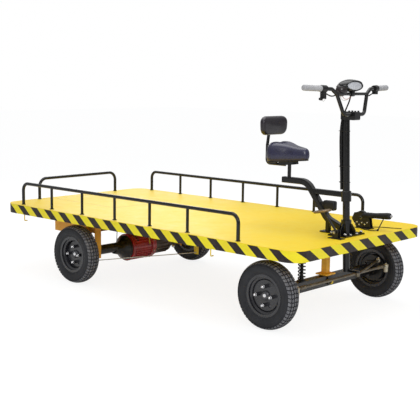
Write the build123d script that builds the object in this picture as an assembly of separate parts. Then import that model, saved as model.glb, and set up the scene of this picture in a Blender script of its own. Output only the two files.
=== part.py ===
from build123d import *
import math
import os

# Electric platform cart with a steering mast, a saddle, guard rails and a rear drive axle.
# Millimetres. +X is forward, +Y is the driver's left, +Z is up.
# The ground is at zero height, and the middle of the platform is over the origin.

# Clearances
seat_gap = 0.3
running_gap = 0.05
open_pin_gap = 0.4
face_gap = 1.0
swing_gap = 5.5
overrun = 20.0

# Platform
deck_length = 3000.0
deck_width = 1500.0
wheel_clearance = 110.0
deck_sheet = 4.0
skirt_depth = 75.0
deck_corner = 110.0
deck_hole_margin = 6.0

# Frame under the platform
channel_inset = 330.0
channel_height = 64.0
channel_width = 42.0
channel_wall = 5.0
member_width = 40.0
member_height = 40.0
middle_member_shares = [0.166, 0.355, 0.566, 0.776]
rear_member_inset = 200.0
axle_member_gap = 245.0
front_member_inset = 64.0
front_outrigger_inset = 134.0
rear_hook_offset = 53.0
front_hook_offset = 28.5
hook_inset = 11.0
hook_wire = 8.0
hook_drop = 54.0
hook_reach = 26.0

# Guard rails
tube_size = 25.0
post_size = 21.0
rail_height = 172.0
rail_inset = 35.0
rail_bend = 58.0
rail_rear_inset = 210.0
rail_front_inset = 498.0
post_pitch_share = 0.1606
post_count = 5
rear_rail_inset = 32.0
rear_rail_side_inset = 328.0
rear_bend = 70.0
foot_ring_size = 34.0
foot_ring_height = 4.0

# Wheels
tyre_diameter = 450.0
tyre_width = 112.0
wall_rise = 34.0
lip_rise = 12.0
lip_inset = 6.0
wall_inset = 1.5
shoulder_inset = 8.0
crown_drop = 11.0
rim_size = 280.0
rim_width = 92.0
rim_wall = 4.0
rim_lip = 14.0
bead_width = 12.0
well_depth = 13.0
front_overhang = 315.0
rear_overhang = 785.0
front_wheel_inset = 67.0
rear_wheel_inset = 51.0
front_disc_place = 20.0
rear_disc_place = 4.0
disc_thickness = 5.0
disc_dish = 7.0
disc_margin = 13.0
nut_circle = 122.0
nut_count = 4
nut_flats = 21.0
nut_length = 30.0
stud_size = 12.0
stud_reach = 13.0
vent_radius = 74.0
vent_size = 25.0
vent_angles = [68.0, -62.0]
hub_radius = 31.0
hub_flange_thickness = 10.0
hub_cap_reach = 13.0
hub_cap_wall = 5.0
hub_cap_edge = 6.0
spindle_radius = 15.0
drum_gap = 14.0
drum_wall = 6.0
drum_width = 48.0
backplate_thickness = 4.0
backplate_gap = 3.0

# Rear axle line: right tube with the end bell, motor, gearcase, left tube
axle_tube = 76.0
bell_lip = 2.0
bell_rim = 16.0
bell_step = 14.0
bell_neck = 8.0
bell_length = 78.0
motor_radius = 93.0
gearcase_gap = 19.0
motor_length = 285.0
motor_end_band = 14.0
fin_count = 20
fin_height = 4.0
fin_width = 6.0
gearcase_flange_lip = 11.0
gearcase_flange_width = 14.0
gearcase_lip = 4.0
gearcase_neck_wall = 12.0
gearcase_length = 195.0
gearcase_taper_share = 0.6
gearcase_neck_share = 0.76
flange_bolt_count = 8
flange_bolt_size = 11.0
flange_bolt_head = 6.0

# Rear brackets, sub-frame and battery
bracket_width = 118.0
bracket_depth = 62.0
bracket_wall = 6.0
window_size = 46.0
window_rise = 84.0
clamp_split = 12.0
clamp_wall = 14.0
clamp_width = 116.0
clamp_bolt_size = 12.0
clamp_bolt_inset = 11.0
clamp_bolt_drop = 16.0
tray_length = 391.0
tray_width = 50.0
tray_drop = 142.0
battery_inset = 76.0
battery_side_gap = 92.0

# Front axle
beam_height = 70.0
beam_depth = 60.0
kingpin_inset = 102.0
kingpin_radius = 9.0
boss_radius = 22.0
beam_end_length = 36.0
yoke_wall = 14.0
track_arm_length = 155.0
drag_arm_length = 90.0
arm_width = 28.0
arm_thickness = 14.0
link_pin = 6.0
pin_head = 3.0
tie_rod_size = 18.0
drag_rod_size = 16.0
joint_size = 28.0
joint_height = 24.0
post_tube = 42.0
post_flange_length = 92.0
post_flange_width = 104.0
post_flange_thickness = 10.0
flange_lift = 6.0
ear_thickness = 8.0
ear_wall = 12.0
pivot_radius = 11.0
pivot_overhang = 13.0
spring_inset = 148.0
spring_size = 54.0
spring_wire = 9.0
spring_turn_count = 12
cup_size = 64.0
cup_plate = 4.0
cup_height = 40.0
cup_taper = 6.0
damper_size = 22.0

# Mast and steering column
column_inset = 155.0
mast_rake_angle = 2.4
column_size = 48.0
column_length = 772.0
housing_size = 70.0
housing_height = 92.0
base_length = 145.0
base_width = 224.0
base_thickness = 10.0
gusset_height = 70.0
gusset_reach = 60.0
gusset_shoulder = 8.0
gusset_wall = 6.0
base_bolt_inset_x = 18.0
base_bolt_inset_y = 18.0
base_bolt_size = 20.0
base_bolt_height = 9.0
collar_size = 68.0
collar_drop = 45.0
collar_rise = 25.0
pitman_thickness = 14.0

# Handlebar
bar_size = 25.0
bar_rise = 34.0
bar_reach = 59.4
bar_low_half = 118.0
bar_low_bend = 40.0
bar_leg_rise = 134.0
bar_leg_setback = 20.0
bar_leg_spread = 56.0
bar_high_bend = 30.0
bar_turn_rise = 32.0
bar_turn_setback = 6.0
bar_turn_spread = 48.0
bar_turn_bend = 24.0
bar_end_rise = 8.0
bar_end_setback = 34.0
bar_end_spread = 258.0
brace_size = 20.0
stem_width = 62.0
stem_height = 52.0
stem_nose = 30.0
stem_corner = 8.0
stem_knob_size = 13.0
stem_knob_height = 8.0
stem_knob_inset = 13.0
grip_length = 158.0
grip_size = 35.0
grip_end_wall = 4.0
pod_gap = 2.0
pod_length = 44.0
pod_size = 45.0
switch_width = 30.0
switch_depth = 28.0
switch_drop = 64.0
throttle_drop = 38.0

# Head lamp
lamp_reach = 34.0
lamp_length = 110.0
lamp_half_width = 86.0
lamp_rise = 13.0
lamp_height = 92.0
lamp_corner = 44.0
lamp_nose_rise = 14.0
lamp_visor = 14.0
lamp_tail_rise = 36.0
lamp_tail_drop = 38.0
lamp_tail_reach = 58.0
lens_inset = 15.0
lens_drop = 18.0
lens_depth = 14.0
lens_corner = 24.0
lamp_foot_width = 44.0
lamp_foot_depth = 24.0
lamp_foot_wall = 5.0

# Seat frame
frame_tube = 42.0
frame_corner = 5.25
frame_run = 165.0
frame_rise = 330.0
frame_bend = 120.0
frame_lean = 273.0
frame_foot_gap = 4.5
frame_foot_plate = 84.0
frame_foot_rear = 64.0
frame_foot_front = 30.0
arm_size = 36.0
arm_drop = 59.0
control_inset = 18.0
control_length = 134.0
control_rise = 145.0
control_height = 68.0
control_width = 44.0
control_corner = 8.0

# Saddle and backrest
seat_post_inset = 50.0
seat_post_size = 26.0
carrier_rear = 72.0
carrier_front = 52.0
carrier_width = 68.0
carrier_height = 22.0
saddle_setback = 136.0
saddle_length = 300.0
saddle_half_width = 128.0
nose_half_width = 36.0
saddle_corner = 56.0
saddle_rise = 116.0
saddle_nose_rise = 30.0
saddle_rear_height = 146.0
saddle_nose_height = 84.0
saddle_low_inset = 16.0
saddle_high_inset = 24.0
saddle_belly_share = 0.3
saddle_brow_share = 0.82
back_gap = 46.0
back_height = 133.0
back_half_width = 126.0
back_thickness = 46.0
back_setback = 9.0
back_corner = 44.0
back_bow = 14.0
back_bar_size = 22.0
back_bar_reach = 59.0
back_bar_knee_drop = 78.0
back_bar_neck_drop = 2.0
back_bar_top_inset = 41.0
back_bar_bend = 30.0

# Brake pedal
pedal_place = -172.0
pedal_foot_reach = 39.0
pedal_foot_length = 104.0
pedal_foot_width = 52.0
pedal_foot_plate = 5.0
pedal_cheek_gap = 32.0
pedal_cheek = 4.0
pedal_cheek_length = 40.0
pedal_cheek_height = 58.0
pedal_pivot = 7.0
pedal_pivot_height = 44.0
pedal_rod = 8.0
pedal_boss = 12.0
pedal_knee_setback = 44.0
pedal_knee_height = 96.0
pedal_pad_setback = 62.0
pedal_pad_height = 168.0
pedal_pad_length = 146.0
pedal_pad_width = 82.0
pedal_pad_thickness = 16.0
pedal_pad_angle = 19.0
pedal_bend = 40.0

# Hand brake
brake_place = 330.0
brake_inset = 168.0
brake_plate_length = 118.0
brake_plate_width = 68.0
brake_plate_thickness = 5.0
quadrant_length = 156.0
quadrant_height = 112.0
quadrant_wall = 4.0
quadrant_spread = 32.0
quadrant_shares = [(0.0, 0.52), (0.26, 0.0), (1.0, 0.0), (0.9, 0.76), (0.42, 1.0), (0.13, 0.9)]
lever_pivot_inset = 82.0
lever_height = 76.0
lever_size = 22.0
lever_pivot = 7.0
lever_boss = 15.0
lever_length = 122.0
grip_start_height = 86.0
lever_grip_length = 110.0
grip_tip_height = 82.0
lever_grip_size = 36.0
lever_button_size = 16.0
lever_button_reach = 4.0
lever_rod_size = 8.0
lever_rod_place = 58.0
lever_rod_setback = 19.0
lever_rod_foot_shift = 46.0

# Cables and brake rods
cable_size = 12.0
cable_bend = 14.0
motor_cable_size = 9.0
motor_cable_reach = 115.0
motor_cable_inset = 110.0
motor_cable_rise = 95.0
motor_cable_bend = 40.0
rod_size = 10.0
relay_width = 44.0
relay_wall = 8.0
relay_length = 248.0

# Places worked out from the sizes
half_length = deck_length / 2
half_width = deck_width / 2
deck_top = tyre_diameter + wheel_clearance
deck_under = deck_top - deck_sheet
channel_place = half_width - channel_inset
skirt_low = deck_top - skirt_depth
channel_low = deck_under - channel_height
member_low = deck_under - member_height
tube_radius = tube_size / 2
rail_axis = deck_top + rail_height
rail_y = half_width - rail_inset
rail_rear = rail_rear_inset - half_length
rail_front = half_length - rail_front_inset
axle_height = tyre_diameter / 2
front_axle_x = half_length - front_overhang
rear_axle_x = rear_overhang - half_length
front_wheel_y = half_width - front_wheel_inset - tyre_width / 2
rear_wheel_y = half_width - rear_wheel_inset - tyre_width / 2
kingpin_place = front_wheel_y - kingpin_inset
bracket_place = channel_place + channel_width / 2 + bracket_depth / 2
beam_top = axle_height + beam_height / 2
beam_low = beam_top - beam_height
rake = math.radians(mast_rake_angle)
lean = Vector(-math.sin(rake), 0, math.cos(rake))
column_foot_x = half_length - column_inset
column_top = deck_top + column_length


def block(x, y, z):
    """A box from three spans."""
    size = [abs(span[1] - span[0]) for span in (x, y, z)]
    middle = [(span[0] + span[1]) / 2 for span in (x, y, z)]
    return Pos(*middle) * Box(*size)


def around(middle, size):
    """A span of a size about its middle."""
    return (middle - size / 2, middle + size / 2)


def rod(start, end, radius):
    """A round bar between two points."""
    a, b = Vector(*start), Vector(*end)
    return extrude(Plane(origin=a, z_dir=(b - a).normalized()) * Circle(radius), (b - a).length)


def turned(profile, place, direction):
    """A solid of revolution from points of radius and distance along the axis."""
    axis = Vector(*direction)
    up = Vector(0, 0, 1)
    plane = Plane(origin=Vector(*place), x_dir=up, z_dir=up.cross(axis))
    return revolve(plane * make_face(Polyline(profile, close=True)), Axis(Vector(*place), axis))


def bent_tube(points, bends, radius):
    """A round tube along straight runs joined by bends."""
    path = FilletPolyline([Vector(*point) for point in points], radius=bends)
    return sweep(Plane(origin=path @ 0, z_dir=path % 0) * Circle(radius), path=path)


def upright(x, y, low, high, radius):
    """A vertical cylinder between two heights."""
    return Pos(x, y, (low + high) / 2) * Cylinder(radius, high - low)


def across_x(x, y, z, reach, radius):
    """A cylinder along X, reaching as far each way."""
    return rod((x - reach, y, z), (x + reach, y, z), radius)


def across_y(x, y, z, reach, radius):
    """A cylinder along Y, reaching as far each way."""
    return rod((x, y - reach, z), (x, y + reach, z), radius)


def on_column(height):
    """The place along X of the column's centre line at a height."""
    return column_foot_x - (height - deck_top) * math.tan(rake)


def along_column(low, high, radius):
    """A cylinder about the column's centre line."""
    return rod((on_column(low), 0, low), (on_column(high), 0, high), radius)


def both_sides(solid):
    """The solid and its mirror image across the cart."""
    return [solid, mirror(solid, Plane.XZ)]


parts = {}


# Platform sheet and skirt
def slab(inset, low, high):
    outline = RectangleRounded(deck_length - 2 * inset, deck_width - 2 * inset, deck_corner - inset)
    return Pos(0, 0, low) * extrude(outline, high - low)


column_hole = upright(on_column(deck_top), 0, skirt_low, deck_top + overrun, column_size / 2 + deck_hole_margin)
parts["deck_plate"] = slab(0, deck_under, deck_top) - column_hole
skirt = slab(0, skirt_low, deck_under) - slab(deck_sheet, skirt_low - overrun, deck_under + overrun)
straight = half_length - deck_corner
skirt_span = (skirt_low - overrun, deck_under + overrun)
side_cut = block((-straight, straight), (0, half_width + overrun), skirt_span)
end_cut = block((straight, half_length + overrun), around(0, deck_width + overrun), skirt_span)
parts["skirt_sides"] = Compound(both_sides(skirt & side_cut))
parts["skirt_ends"] = Compound([skirt & end_cut, skirt & mirror(end_cut, Plane.YZ)])

# Frame channels, and cross members of channel section between and outside them
channel_reach = half_length - deck_sheet - seat_gap
channel = block((-channel_reach, channel_reach), around(channel_place, channel_width),
                (channel_low, deck_under))
channel -= block((-half_length, half_length),
                 (channel_place - channel_width, channel_place + channel_width / 2 - channel_wall),
                 (channel_low + channel_wall, deck_under - channel_wall))
parts["frame_channels"] = Compound(both_sides(channel))
inner_half = channel_place - channel_width / 2 - seat_gap
outer_start = channel_place + channel_width / 2 + seat_gap
outer_end = half_width - deck_sheet - seat_gap


def member(x, y):
    solid = block(around(x, member_width), y, (member_low, deck_under))
    return solid - block((x - member_width, x + member_width / 2 - channel_wall),
                         (y[0] - overrun, y[1] + overrun), (member_low + channel_wall, deck_under - channel_wall))


member_places = [rear_member_inset - half_length, rear_axle_x - axle_member_gap]
member_places += [rear_axle_x + (front_axle_x - rear_axle_x) * share for share in middle_member_shares]
members = [member(x, (-inner_half, inner_half)) for x in member_places + [half_length - front_member_inset]]
for x in member_places + [half_length - front_outrigger_inset]:
    members += both_sides(member(x, (outer_start, outer_end)))
parts["cross_members"] = Compound(members)

# Rope hooks under the platform's long sides
hook_y = half_width - hook_inset
hook_low = skirt_low - hook_drop + hook_wire / 2
hooks = []
for x in (member_places[0] + rear_hook_offset, member_places[-1] + front_hook_offset):
    hook = bent_tube([(x, hook_y, deck_under), (x, hook_y, hook_low),
                      (x, hook_y - hook_reach, hook_low)], hook_wire, hook_wire / 2)
    hooks += both_sides(hook)
parts["rope_hooks"] = Compound(hooks)


# Guard rails of bent tube: legs that bend over to the top tube, and straight posts under it
def rail_leg(x, y, toward):
    """A leg bent over to the top tube, towards a direction in plan."""
    bend = rear_bend if toward[0] == 0 else rail_bend
    diagonal = bend * math.sqrt(0.5)
    knee = (x, y, rail_axis - bend)
    middle = (x + toward[0] * (bend - diagonal), y + toward[1] * (bend - diagonal), rail_axis - bend + diagonal)
    end = (x + toward[0] * bend, y + toward[1] * bend, rail_axis)
    path = Wire([Line((x, y, deck_top), knee).edge(), ThreePointArc(knee, middle, end).edge()])
    leg = sweep(Plane(origin=(x, y, deck_top), z_dir=(0, 0, 1)) * Circle(tube_radius), path=path)
    return leg + upright(x, y, deck_top, deck_top + foot_ring_height, foot_ring_size / 2)


def rail_post(x, y):
    """A straight post, coped to the top tube."""
    post = upright(x, y, deck_top, rail_axis, post_size / 2)
    post -= across_x(x, y, rail_axis, tube_size, tube_radius)
    return post + upright(x, y, deck_top, deck_top + foot_ring_height, foot_ring_size / 2)


side_tube = rod((rail_rear + rail_bend, rail_y, rail_axis), (rail_front - rail_bend, rail_y, rail_axis),
                tube_radius)
parts["side_rails"] = Compound(both_sides(side_tube))
posts = both_sides(rail_leg(rail_rear, rail_y, (1, 0))) + both_sides(rail_leg(rail_front, rail_y, (-1, 0)))
for index in range(post_count):
    place = post_pitch_share * (index + 1)
    posts += both_sides(rail_post(rail_rear + (rail_front - rail_rear) * place, rail_y))
parts["side_rail_posts"] = Compound(posts)
rear_rail_x = rear_rail_inset - half_length
rear_rail_half = half_width - rear_rail_side_inset
rear_tube_half = rear_rail_half - rear_bend
parts["rear_rail"] = rod((rear_rail_x, -rear_tube_half, rail_axis), (rear_rail_x, rear_tube_half, rail_axis),
                         tube_radius)
parts["rear_rail_legs"] = Compound(both_sides(rail_leg(rear_rail_x, rear_rail_half, (0, -1))))

# Wheels, each made at its own place with its outer face turned outwards
tyre_radius = tyre_diameter / 2
rim_radius = rim_size / 2
rim_half = rim_width / 2
bead_seat = rim_radius - rim_lip
rim_well = bead_seat - well_depth
disc_radius = rim_well - disc_margin
drum_radius = rim_well - rim_wall - drum_gap
backplate_radius = drum_radius - face_gap


def tyre(place):
    """Pneumatic tyre: beads, bulged walls, shoulders and a crowned tread."""
    half = tyre_width / 2
    wall_radius = rim_radius + wall_rise
    shoulder_radius = tyre_radius - crown_drop
    upper_wall = (wall_radius + shoulder_radius) / 2
    bead = (bead_seat + seat_gap, rim_half - rim_wall - seat_gap)
    lip = (rim_radius + seat_gap, rim_half - rim_wall - seat_gap)
    flank = (rim_radius + lip_rise, half - lip_inset)
    wall = (wall_radius, half)
    flex = (upper_wall, half - wall_inset)
    shoulder = (shoulder_radius, half - shoulder_inset)
    crown = (tyre_radius, 0)
    other = [(r, -w) for r, w in (bead, lip, flank, wall, flex, shoulder)]
    profile = [Line(bead, lip), ThreePointArc(lip, flank, wall), ThreePointArc(wall, flex, shoulder),
               ThreePointArc(shoulder, crown, other[5]), ThreePointArc(other[5], other[4], other[3]),
               ThreePointArc(other[3], other[2], other[1]), Line(other[1], other[0]), Line(other[0], bead)]
    plane = Plane(origin=place, x_dir=(0, 0, 1), z_dir=(-1, 0, 0))
    return revolve(plane * make_face(profile), Axis(place, (0, 1, 0)))


def rim(place, sign, disc_place):
    """Pressed rim with well, bead seats and flanges, its dished disc, and the wheel nuts."""
    seat_in = bead_seat - rim_wall
    well_in = rim_well - rim_wall
    seat_half = rim_half - rim_wall - bead_width
    well_half = seat_half - (bead_seat - rim_well) / 2
    flange_in = rim_half - rim_wall
    outside = [(rim_radius, rim_half), (rim_radius, flange_in), (bead_seat, flange_in), (bead_seat, seat_half),
               (rim_well, well_half)]
    inside = [(well_in, well_half), (seat_in, seat_half), (seat_in, rim_half)]
    profile = outside + [(r, -w) for r, w in reversed(outside)]
    profile += [(r, -w) for r, w in reversed(inside)] + inside
    barrel = turned(profile, place, (0, sign, 0))
    back = disc_place - disc_thickness
    disc = turned([(hub_radius + seat_gap, back), (hub_radius + seat_gap, disc_place), (disc_radius, disc_place),
                   (disc_radius + disc_dish, disc_place - disc_dish), (rim_well, disc_place - disc_dish),
                   (rim_well, back - disc_dish), (disc_radius, back - disc_dish), (disc_radius, back)],
                  place, (0, sign, 0))
    face = place[1] + sign * disc_place
    for turn in vent_angles:
        x = place[0] + vent_radius * math.cos(math.radians(turn))
        z = place[2] + vent_radius * math.sin(math.radians(turn))
        disc -= rod((x, face - sign * overrun, z), (x, face + sign * overrun, z), vent_size / 2)
    solid = barrel + disc
    for index in range(nut_count):
        turn = 2 * math.pi * (index + 1) / nut_count
        x = place[0] + nut_circle / 2 * math.sin(turn)
        z = place[2] + nut_circle / 2 * math.cos(turn)
        seat = Plane(origin=(x, face, z), x_dir=(1, 0, 0), z_dir=(0, sign, 0))
        solid += extrude(seat * RegularPolygon(nut_flats / 2, 6, major_radius=False), nut_length)
        nut_end = face + sign * nut_length
        solid += rod((x, nut_end, z), (x, nut_end + sign * stud_reach, z), stud_size / 2)
    return solid


def hub(place, sign, disc_place):
    """Hub: cap, mounting flange, bearing barrel with its bore, and brake drum."""
    bore = spindle_radius + running_gap
    back = disc_place - disc_thickness
    flange_in = back - hub_flange_thickness
    drum_in = back - drum_width
    cap_out = disc_place + hub_cap_reach
    cap_in = cap_out - hub_cap_wall
    profile = [(bore, drum_in), (bore, cap_in), (0, cap_in), (0, cap_out), (hub_radius - hub_cap_edge, cap_out),
               (hub_radius, cap_out - hub_cap_edge), (hub_radius, back), (drum_radius, back),
               (drum_radius, drum_in), (drum_radius - drum_wall, drum_in), (drum_radius - drum_wall, flange_in),
               (hub_radius, flange_in), (hub_radius, drum_in)]
    return turned(profile, place, (0, sign, 0))


wheel_places = {
    "front_left": (front_axle_x, front_wheel_y, 1, front_disc_place),
    "front_right": (front_axle_x, -front_wheel_y, -1, front_disc_place),
    "rear_left": (rear_axle_x, rear_wheel_y, 1, rear_disc_place),
    "rear_right": (rear_axle_x, -rear_wheel_y, -1, rear_disc_place),
}
for name, (x, y, sign, disc_place) in wheel_places.items():
    place = (x, y, axle_height)
    parts[f"tyre_{name}"] = tyre(place)
    parts[f"rim_{name}"] = rim(place, sign, disc_place)
    parts[f"hub_{name}"] = hub(place, sign, disc_place)


def drum_inside(wheel_y, disc_place):
    """The distance from the middle of the cart to the outer face of a brake backplate."""
    return wheel_y + disc_place - disc_thickness - drum_width - backplate_gap


def spindle_end(wheel_y, disc_place):
    return wheel_y + disc_place + hub_cap_reach - hub_cap_wall - face_gap


# Rear axle: tubes with backplates and spindles, the motor and the gearcase on one line
rear_plate_y = drum_inside(rear_wheel_y, rear_disc_place)
rear_spindle_y = spindle_end(rear_wheel_y, rear_disc_place)
gearcase_end = bracket_place - bracket_depth / 2 - gearcase_gap
gearcase_start = gearcase_end - gearcase_length
motor_start = gearcase_start - motor_length
bell_start = motor_start - bell_length
bell_radius = motor_radius + bell_lip
gearcase_radius = motor_radius + gearcase_lip
gearcase_flange = motor_radius + gearcase_flange_lip
gearcase_neck = axle_tube / 2 + gearcase_neck_wall
axle_line = (rear_axle_x, 0, axle_height)
tube_end = rear_plate_y - backplate_thickness
right_profile = [(0, -rear_spindle_y), (spindle_radius, -rear_spindle_y), (spindle_radius, -rear_plate_y),
                 (backplate_radius, -rear_plate_y), (backplate_radius, -tube_end), (axle_tube / 2, -tube_end),
                 (axle_tube / 2, bell_start), (axle_tube / 2 + bell_neck, bell_start + bell_step),
                 (bell_radius - bell_step, motor_start - 2 * bell_rim), (bell_radius, motor_start - bell_rim),
                 (bell_radius, motor_start), (0, motor_start)]
left_profile = [(0, gearcase_end), (axle_tube / 2, gearcase_end), (axle_tube / 2, tube_end),
                (backplate_radius, tube_end), (backplate_radius, rear_plate_y), (spindle_radius, rear_plate_y),
                (spindle_radius, rear_spindle_y), (0, rear_spindle_y)]
parts["rear_axle_right"] = turned(right_profile, axle_line, (0, 1, 0))
parts["rear_axle_left"] = turned(left_profile, axle_line, (0, 1, 0))

motor = turned([(0, motor_start), (motor_radius, motor_start), (motor_radius, motor_start + motor_end_band),
                (motor_radius - fin_height, motor_start + motor_end_band),
                (motor_radius - fin_height, gearcase_start - motor_end_band),
                (motor_radius, gearcase_start - motor_end_band), (motor_radius, gearcase_start),
                (0, gearcase_start)], axle_line, (0, 1, 0))
fin = block(around(0, fin_width), (motor_start + motor_end_band / 2, gearcase_start - motor_end_band / 2),
            (motor_radius - 2 * fin_height, motor_radius))
for index in range(fin_count):
    motor += Pos(*axle_line) * Rot(0, 360 / fin_count * index, 0) * fin
parts["drive_motor"] = motor

gearcase = turned([(0, gearcase_start), (gearcase_flange, gearcase_start),
                   (gearcase_flange, gearcase_start + gearcase_flange_width),
                   (gearcase_radius, gearcase_start + gearcase_flange_width),
                   (gearcase_radius, gearcase_start + gearcase_length * gearcase_taper_share),
                   (gearcase_radius * gearcase_neck_share, gearcase_end - gearcase_flange_width),
                   (gearcase_neck, gearcase_end), (0, gearcase_end)], axle_line, (0, 1, 0))
bolt_circle = gearcase_flange - flange_bolt_size / 2 - face_gap
bolt_y = gearcase_start + gearcase_flange_width
for index in range(flange_bolt_count):
    turn = 2 * math.pi * (index + 1) / flange_bolt_count
    x = rear_axle_x + bolt_circle * math.sin(turn)
    z = axle_height + bolt_circle * math.cos(turn)
    gearcase += rod((x, bolt_y, z), (x, bolt_y + flange_bolt_head, z), flange_bolt_size / 2)
parts["gearcase"] = gearcase

# Rear brackets: window plates on split clamps round the axle tubes
axle_top = axle_height + axle_tube / 2
split_height = axle_height + clamp_split
seat_top = axle_top + bracket_wall
tube_cut = across_y(rear_axle_x, bracket_place, axle_height, bracket_depth, axle_tube / 2 + seat_gap)
bracket_y = around(bracket_place, bracket_depth)
bracket = block(around(rear_axle_x, bracket_width), bracket_y, (split_height, seat_top)) - tube_cut
frame = block(around(rear_axle_x, bracket_width), bracket_y, (seat_top, deck_under))
frame -= block(around(rear_axle_x, bracket_width - 2 * bracket_wall),
               (bracket_y[0] - overrun, bracket_y[1] + overrun),
               (seat_top + bracket_wall, deck_under - bracket_wall))
web = block(around(rear_axle_x, bracket_width), around(bracket_place, bracket_wall), (seat_top, deck_under))
window = block(around(rear_axle_x, window_size), bracket_y, around(axle_top + window_rise, window_size))
bracket += frame + (web - window)
clamp_low = axle_height - axle_tube / 2 - clamp_wall
clamp = block(around(rear_axle_x, clamp_width), bracket_y, (clamp_low, split_height)) - tube_cut
for sign in (1, -1):
    x = rear_axle_x + sign * (clamp_width / 2 - clamp_bolt_inset)
    clamp += upright(x, bracket_place, clamp_low - clamp_bolt_drop, clamp_low, clamp_bolt_size / 2)
parts["rear_axle_brackets"] = Compound(both_sides(bracket))
parts["axle_clamps"] = Compound(both_sides(clamp))

# Battery sub-frame behind the axle, hung from the outriggers, and the battery in it
tray_front = rear_axle_x - bracket_width / 2
tray_rear = tray_front - tray_length
tray_low = skirt_low - tray_drop
tray_out = bracket_place + tray_width / 2
rail = block((tray_rear, tray_front), (bracket_place - tray_width / 2, tray_out), (tray_low, member_low))
rail -= block((tray_rear - overrun, tray_front + overrun), (bracket_place - tray_width, tray_out - channel_wall),
              (tray_low + channel_wall, member_low - channel_wall))
battery_span = (tray_rear + member_width, tray_front - battery_inset)
battery_half = bracket_place - battery_side_gap
floor = block(battery_span, around(0, 2 * bracket_place), (tray_low, tray_low + channel_wall))
parts["rear_subframe"] = rail + mirror(rail, Plane.XZ) + floor
parts["battery"] = block(battery_span, around(0, 2 * battery_half),
                         (tray_low + channel_wall, member_low - seat_gap))

# Front axle beam, with a kingpin boss at each end
beam = block(around(front_axle_x, beam_depth), around(0, 2 * (kingpin_place - beam_end_length - boss_radius)),
             (beam_low, beam_top))
pin_holes = []
for sign in (1, -1):
    beam += block(around(front_axle_x, 2 * boss_radius),
                  (0, sign * kingpin_place), (beam_low, beam_top))
    beam += upright(front_axle_x, sign * kingpin_place, beam_low, beam_top, boss_radius)
    pin_holes.append(upright(front_axle_x, sign * kingpin_place, beam_low - overrun, beam_top + overrun,
                             kingpin_radius + running_gap))
for hole in pin_holes:
    beam -= hole
beam -= across_x(front_axle_x, 0, axle_height, beam_depth, pivot_radius + seat_gap)
parts["front_axle_beam"] = beam

# Pivot bracket: post, flange, two ears and the pin that carries the beam
flange_low = beam_top + flange_lift
flange_top = flange_low + post_flange_thickness
bracket = block(around(front_axle_x, post_tube), around(0, post_tube), (flange_top, deck_under))
bracket += block(around(front_axle_x, post_flange_length), around(0, post_flange_width),
                 (flange_low, flange_top))
ear_low = axle_height - pivot_radius - ear_wall
for sign in (1, -1):
    near = front_axle_x + sign * (beam_depth / 2 + face_gap)
    bracket += block((near, near + sign * ear_thickness), around(0, post_tube), (ear_low, flange_low))
pin_reach = beam_depth / 2 + face_gap + ear_thickness + pivot_overhang
bracket += across_x(front_axle_x, 0, axle_height, pin_reach, pivot_radius)
parts["front_pivot_bracket"] = bracket

# Coil springs over telescopic dampers, between the beam and the platform
spring_place = channel_place - spring_inset
coil_radius = (spring_size - spring_wire) / 2
coil_low = beam_top + cup_plate + seat_gap + spring_wire / 2
coil_high = deck_under - cup_plate - seat_gap - spring_wire / 2
coil_path = Pos(front_axle_x, spring_place, coil_low) * Helix(
    pitch=(coil_high - coil_low) / spring_turn_count, height=coil_high - coil_low, radius=coil_radius)
coil = sweep(Plane(origin=coil_path @ 0, z_dir=coil_path % 0) * Circle(spring_wire / 2), path=coil_path,
             is_frenet=True)
parts["front_springs"] = Compound(both_sides(coil))
cup_inside = coil_radius - spring_wire / 2 - face_gap
cup_end = beam_top + cup_plate + cup_height
damper = upright(front_axle_x, spring_place, beam_top, beam_top + cup_plate, cup_size / 2)
damper += upright(front_axle_x, spring_place, deck_under - cup_plate, deck_under, cup_size / 2)
damper += Pos(front_axle_x, spring_place, beam_top + cup_plate + cup_height / 2) * Cone(
    cup_inside, cup_inside - cup_taper, cup_height)
damper += upright(front_axle_x, spring_place, cup_end, deck_under - cup_plate, damper_size / 2)
parts["front_dampers"] = Compound(both_sides(damper))

# Heights of the steering linkage, from the beam up: ears and track arms, drag arm, drag link, pitman arm
ear_top = beam_top + face_gap + yoke_wall
drag_arm_top = ear_top + arm_thickness
drag_low = drag_arm_top + face_gap
drag_z = drag_low + joint_height / 2
pitman_low = drag_low + joint_height + face_gap
track_low = beam_top + face_gap
joint_top = track_low - face_gap
tie_z = joint_top - joint_height / 2
track_eye_x = front_axle_x + track_arm_length
drag_eye_x = front_axle_x + drag_arm_length
forward = Vector(math.cos(rake), 0, math.sin(rake))
pitman_foot_z = pitman_low - drag_arm_length * math.sin(rake)
pitman_foot = Vector(on_column(pitman_foot_z), 0, pitman_foot_z)
pitman_eye = pitman_foot + forward * drag_arm_length


def arm(start_x, end_x, y, low, high):
    """A flat arm with round ends."""
    outline = SlotCenterToCenter(end_x - start_x, arm_width)
    return Pos((start_x + end_x) / 2, y, low) * extrude(outline, high - low)


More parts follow.
